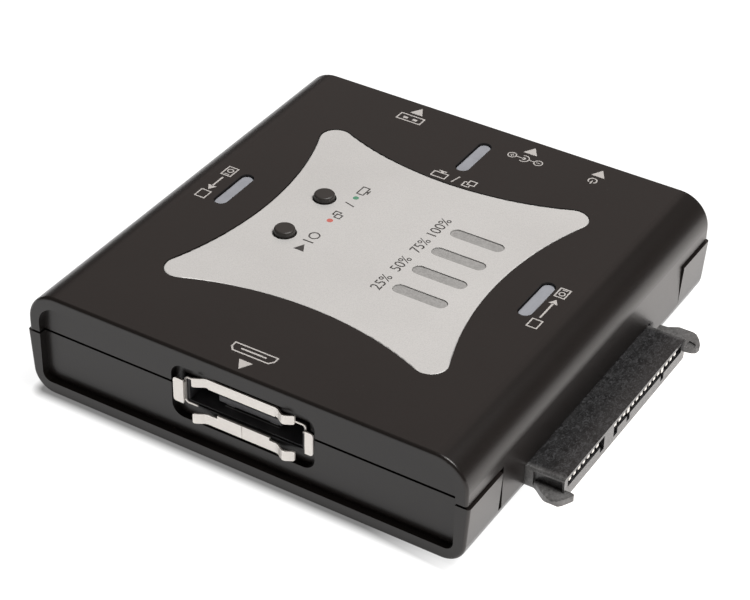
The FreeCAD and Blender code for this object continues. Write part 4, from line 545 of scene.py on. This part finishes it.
def copy_icon(p, x, y, h):
    """Two sheets, one behind the other."""
    s = h * 0.68
    t = 0.2
    p.band([(x + t / 2, y + t / 2), (x + s - t / 2, y + t / 2), (x + s - t / 2, y + s - t / 2), (x + t / 2, y + s - t / 2)], t, closed=True)
    o = h - s
    p.band([(x + o + 0.12, y + h - t / 2), (x + h - t / 2, y + h - t / 2), (x + h - t / 2, y + o + 0.12)], t)
    p.rect(x + o, x + o + t, y + s + 0.12, y + h)
    p.rect(x + s + 0.12, x + h, y + o, y + o + t)
    return h


def screen_icon(p, x, y, h):
    """Desk screen on a stand."""
    w = h * 1.3
    t = 0.2
    p.band([(x + t / 2, y + h * 0.3), (x + w - t / 2, y + h * 0.3), (x + w - t / 2, y + h - t / 2), (x + t / 2, y + h - t / 2)], t, closed=True)
    p.rect(x + w * 0.42, x + w * 0.58, y + t, y + h * 0.3 - t / 2)
    p.rect(x + w * 0.25, x + w * 0.75, y, y + t)
    return w


def slash(p, x, y, h):
    p.prism([(x, y), (x + 0.2, y), (x + 0.62, y + h), (x + 0.42, y + h)])
    return 0.62


# little arrows that point at the ports
def triangle(name, apex, base_y, x0, x1, slot="lamp_windows"):
    p = Print(name, WHITE, top_z, (0, 0), (1, 0), slot)
    p.prism([(x0, base_y), (x1, base_y), apex] if apex[1] > base_y else [(x1, base_y), (x0, base_y), apex])
    p.done()


OX, OY = 0.14, -0.235
triangle("mark_front_port", (-0.51 + OX, -33.09 + OY), -31.33 + OY, -1.61 + OX, 0.49 + OX)
triangle("mark_usb_port", (-12.9 + OX, 33.1 + OY), 31.27 + OY, -14.0 + OX, -11.9 + OX)
triangle("mark_power_inlet", (6.29 + OX, 32.67 + OY), 30.87 + OY, 5.24 + OX, 7.44 + OX)
triangle("mark_power_switch", (17.14 + OX, 32.67 + OY), 30.87 + OY, 16.14 + OX, 18.24 + OX)

# source row: drive, arrow, bar; read from the left, towards -Y
p = Print("print_source", WHITE, top_z, (-28.0 + OX, 5.25 + OY), (0, -1), "lamp_windows")
w = drive_icon(p, 0.4, 0.0, 1.75)
arrow_icon(p, 0.4 + w + 0.55, 0.0, 3.6, 1.75)
p.band([(7.3, 0.1), (9.1, 0.1), (9.1, 1.65), (7.3, 1.65)], 0.2, closed=True)
p.done()
# destination row, read towards +Y
p = Print("print_destination", WHITE, top_z, (27.0 + OX, -5.6 + OY), (0, 1), "lamp_windows")
p.band([(0.1, 0.1), (1.9, 0.1), (1.9, 1.55), (0.1, 1.55)], 0.2, closed=True)
arrow_icon(p, 2.5, 0.0, 4.6, 1.65)
drive_icon(p, 7.7, 0.0, 1.65)
p.done()
# mode lamp row, read from the back
p = Print("print_mode_lamp", WHITE, top_z, (4.1 + OX, 20.25 + OY), (-1, 0), "lamp_windows")
x = copy_icon(p, 0.3, 0.0, 1.85)
slash(p, 0.3 + x + 1.0, 0.0, 1.85)
screen_icon(p, 0.3 + x + 2.6, 0.0, 1.85)
p.done()
# host port: plug seen end on
p = Print("print_usb_port", WHITE, top_z, (-10.9 + OX, 30.75 + OY), (-1, 0), "lamp_windows")
p.band([(0.2, 0.12), (4.1, 0.12), (4.1, 1.7), (0.2, 1.7)], 0.22, closed=True)
p.rect(1.0, 1.75, 0.75, 1.25)
p.rect(2.55, 3.3, 0.75, 1.25)
p.done()
# power inlet: outer ring minus, centre plus
p = Print("print_power_inlet", WHITE, top_z, (9.3 + OX, 30.25 + OY), (-1, 0), "lamp_windows")
p.ring(0.85, 0.9, 0.62, 0.17)
p.rect(0.55, 1.15, 0.82, 0.98)
p.rect(1.56, 2.35, 0.82, 0.98)
p.ring(3.15, 0.9, 0.78, 0.18, a0=60, a1=300)
p.disc(3.15, 0.9, 0.3)
p.rect(3.15, 4.35, 0.82, 0.98)
p.ring(5.05, 0.9, 0.62, 0.17)
p.rect(4.75, 5.35, 0.82, 0.98)
p.rect(4.97, 5.13, 0.6, 1.2)
p.done()
# stand-by sign
p = Print("print_power_switch", WHITE, top_z, (17.85 + OX, 30.3 + OY), (-1, 0), "lamp_windows")
p.ring(0.8, 0.75, 0.62, 0.2, a0=-235, a1=55)
p.rect(0.7, 0.9, 0.75, 1.6)
p.done()
# front port: shield outline with its tongue
p = Print("print_front_port", WHITE, top_z, (-4.1 + OX, -30.35 + OY), (1, 0), "lamp_windows")
p.band([(0.2, 1.65), (0.2, 0.75), (0.75, 0.12), (6.1, 0.12), (6.65, 0.75), (6.65, 1.65)], 0.22, closed=True)
p.rect(1.5, 5.35, 0.78, 1.05)
p.done()
# plate: start mark, mode row, the two dots
p = Print("print_start", GREY, plate_z, (-7.5, -7.4), (0, 1), "button_caps")
p.prism([(0, 0.05), (1.55, 0.875), (0, 1.7)])
p.rect(2.3, 2.55, 0.05, 1.7)
p.ring(4.0, 0.875, 0.72, 0.2)
p.done()
p = Print("print_mode", GREY, plate_z, (-7.6, 1.75), (0, 1), "button_caps")
x = copy_icon(p, 0.0, 0.0, 1.6)
slash(p, 3.6, 0.0, 1.6)
screen_icon(p, 6.75, 0.0, 1.6)
p.done()
p = Print("print_dot_red", RED, plate_z, (0, 0), (1, 0), "button_caps")
p.disc(-8.6, 0.85, 0.45)
p.done()
p = Print("print_dot_green", GREEN, plate_z, (0, 0), (1, 0), "button_caps")
p.disc(-8.55, 7.5, 0.42)
p.done()


def numeral(name, text, x_base, y0, y1, height, mat, z):
    """Numbers beside the progress windows, read towards +Y."""
    cu = bpy.data.curves.new(name + "_curve", "FONT")
    cu.body = text
    cu.size = 1.0
    cu.extrude = 0.0
    tmp = bpy.data.objects.new(name + "_tmp", cu)
    scene.collection.objects.link(tmp)
    bpy.context.view_layer.update()
    me = bpy.data.meshes.new_from_object(tmp.evaluated_get(bpy.context.evaluated_depsgraph_get()))
    bpy.data.objects.remove(tmp)
    bm = bmesh.new()
    bm.from_mesh(me)
    bpy.data.meshes.remove(me)
    bmesh.ops.remove_doubles(bm, verts=bm.verts[:], dist=1e-5)
    xs = [v.co.x for v in bm.verts]
    ys = [v.co.y for v in bm.verts]
    sx = (y1 - y0) / (max(xs) - min(xs))
    sy = height / (max(ys) - min(ys))
    mx, my = min(xs), min(ys)
    for v in bm.verts:
        a, b = (v.co.x - mx) * sx, (v.co.y - my) * sy
        v.co = Vector(((x_base - b) * MM, (y0 + a) * MM, (z + INK) * MM))
    r = bmesh.ops.extrude_face_region(bm, geom=bm.faces[:])
    vs = [g for g in r["geom"] if isinstance(g, bmesh.types.BMVert)]
    for v in vs:
        v.co.z = (z - 0.03) * MM
    bmesh.ops.recalc_face_normals(bm, faces=bm.faces[:])
    out = bpy.data.meshes.new(name)
    bm.to_mesh(out)
    bm.free()
    out.materials.append(mat)
    o = bpy.data.objects.new(name, out)
    scene.collection.objects.link(o)
    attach(o, "case")
    return o


numeral("number_25", "25%", 5.65, -9.4, -5.85, 1.6, GREY, plate_z)
numeral("number_50", "50%", 5.65, -4.4, -0.85, 1.6, GREY, plate_z)
numeral("number_75", "75%", 5.65, 0.75, 4.15, 1.6, GREY, plate_z)
numeral("number_100", "100%", 5.65, 5.35, 9.85, 1.6, GREY, plate_z)

# --------------------------------------------------------------- the stage
me = bpy.data.meshes.new("floor")
bm = bmesh.new()
bmesh.ops.create_grid(bm, x_segments=1, y_segments=1, size=4.0)
bm.to_mesh(me)
bm.free()
floor = bpy.data.objects.new("floor", me)
scene.collection.objects.link(floor)
floor.location = (0, 0, -0.00002)
T = Tree("floor_white")
T.set("Base Color", (0.22, 0.22, 0.22, 1))
T.set("Roughness", 0.9)
T.bsdf.inputs["Specular IOR Level"].default_value = 0.0
x, y = T.axis(0), T.axis(1)
dist = T.math("SQRT", T.math("ADD", T.math("MULTIPLY", x, x), T.math("MULTIPLY", y, y)))
# The floor glows: a painted bright strip along the right of the case, tinted warm, lightens the side by reflection,
# and the glow falls off away from the object.
right_glow_strip = T.math("SUBTRACT", T.grey(x, 0.93, 1.46, 0.0312, 0.0370), T.grey(x, 0.0, 0.55, 0.048, 0.110))
fade = T.grey(dist, 1.0, 0.12, 0.12, 0.50)


def beyond(v, half):
    """How far a point lies outside a strip of this half width."""
    return T.math("MAXIMUM", T.math("SUBTRACT", T.math("ABSOLUTE", v), half), 0.0)


# painted contact shadow: the glow is dimmed close to the front and left edges of the case.
dx, dy = T.math("MAXIMUM", T.math("SUBTRACT", T.math("MULTIPLY", x, -1.0), 0.0318), 0.0), beyond(y, 0.0334)
away = T.math("SQRT", T.math("ADD", T.math("MULTIPLY", dx, dx), T.math("MULTIPLY", dy, dy)))
inside = T.grey(x, 0.0, 1.0, 0.0150, 0.0330)
contact_shadow = T.math("MAXIMUM", T.grey(away, 0.22, 1.0, 0.0008, 0.0023), T.math("MULTIPLY", inside, 1.0))
T.set("Emission Color", T.mix(T.grey(x, 0, 1, 0.0325, 0.0370), (1.0, 1.0, 1.0), (1.0, 0.962, 0.935)))
T.set("Emission Strength", T.math("MULTIPLY", T.math("MULTIPLY", right_glow_strip, fade), contact_shadow))
floor.data.materials.append(T.mat)

world = bpy.data.worlds.new("studio")
scene.world = world
world.use_nodes = True
bg = world.node_tree.nodes["Background"]
bg.inputs[0].default_value = (1.0, 0.93, 0.89, 1)
bg.inputs[1].default_value = 0.10


def area(name, loc, target, size, power, shape_y=None, colour=(1, 1, 1)):
    d = bpy.data.lights.new(name, "AREA")
    d.shape = "RECTANGLE"
    d.size = size
    d.size_y = shape_y or size
    d.energy = power
    d.color = colour
    o = bpy.data.objects.new(name, d)
    scene.collection.objects.link(o)
    o.location = loc
    v = Vector(target) - Vector(loc)
    o.rotation_euler = v.to_track_quat("-Z", "Y").to_euler()
    return o


area("overhead", (0.33, 0.10, 0.85), (0, 0, 0), 0.5, 8.6, colour=(1.0, 0.98, 0.965))
area("back_left", (-0.50, 0.90, 0.78), (0, 0, 0), 0.85, 0.92, colour=(1.0, 0.87, 0.82))
area("right", (0.80, 0.62, 0.22), (0, 0, 0.01), 0.9, 0.03, shape_y=0.4, colour=(1.0, 0.95, 0.92))

# -------------------------------------------------------------- the camera
cam_d = bpy.data.cameras.new("camera")
cam_d.sensor_fit = "HORIZONTAL"
cam_d.sensor_width = 36.0
cam_d.lens = 2269.4357 * 36.0 / 750.0
cam_d.clip_start = 0.01
cam_d.clip_end = 20.0
cam = bpy.data.objects.new("camera", cam_d)
scene.collection.objects.link(cam)
right = Vector((0.8515599357, 0.5240044881, 0.0162779695))
up = Vector((-0.3204783829, 0.4957348562, 0.8071806232))
back = Vector((0.4148967124, -0.6925794170, 0.5900800533))
rot = Matrix((right, up, back)).transposed().to_4x4()
cam.matrix_world = Matrix.Translation(Vector((129.27519, -216.83063, 191.43539)) * MM) @ rot
scene.camera = cam

scene.view_settings.view_transform = "Standard"
scene.view_settings.look = "None"
scene.view_settings.exposure = 0.0
scene.view_settings.gamma = 1.0
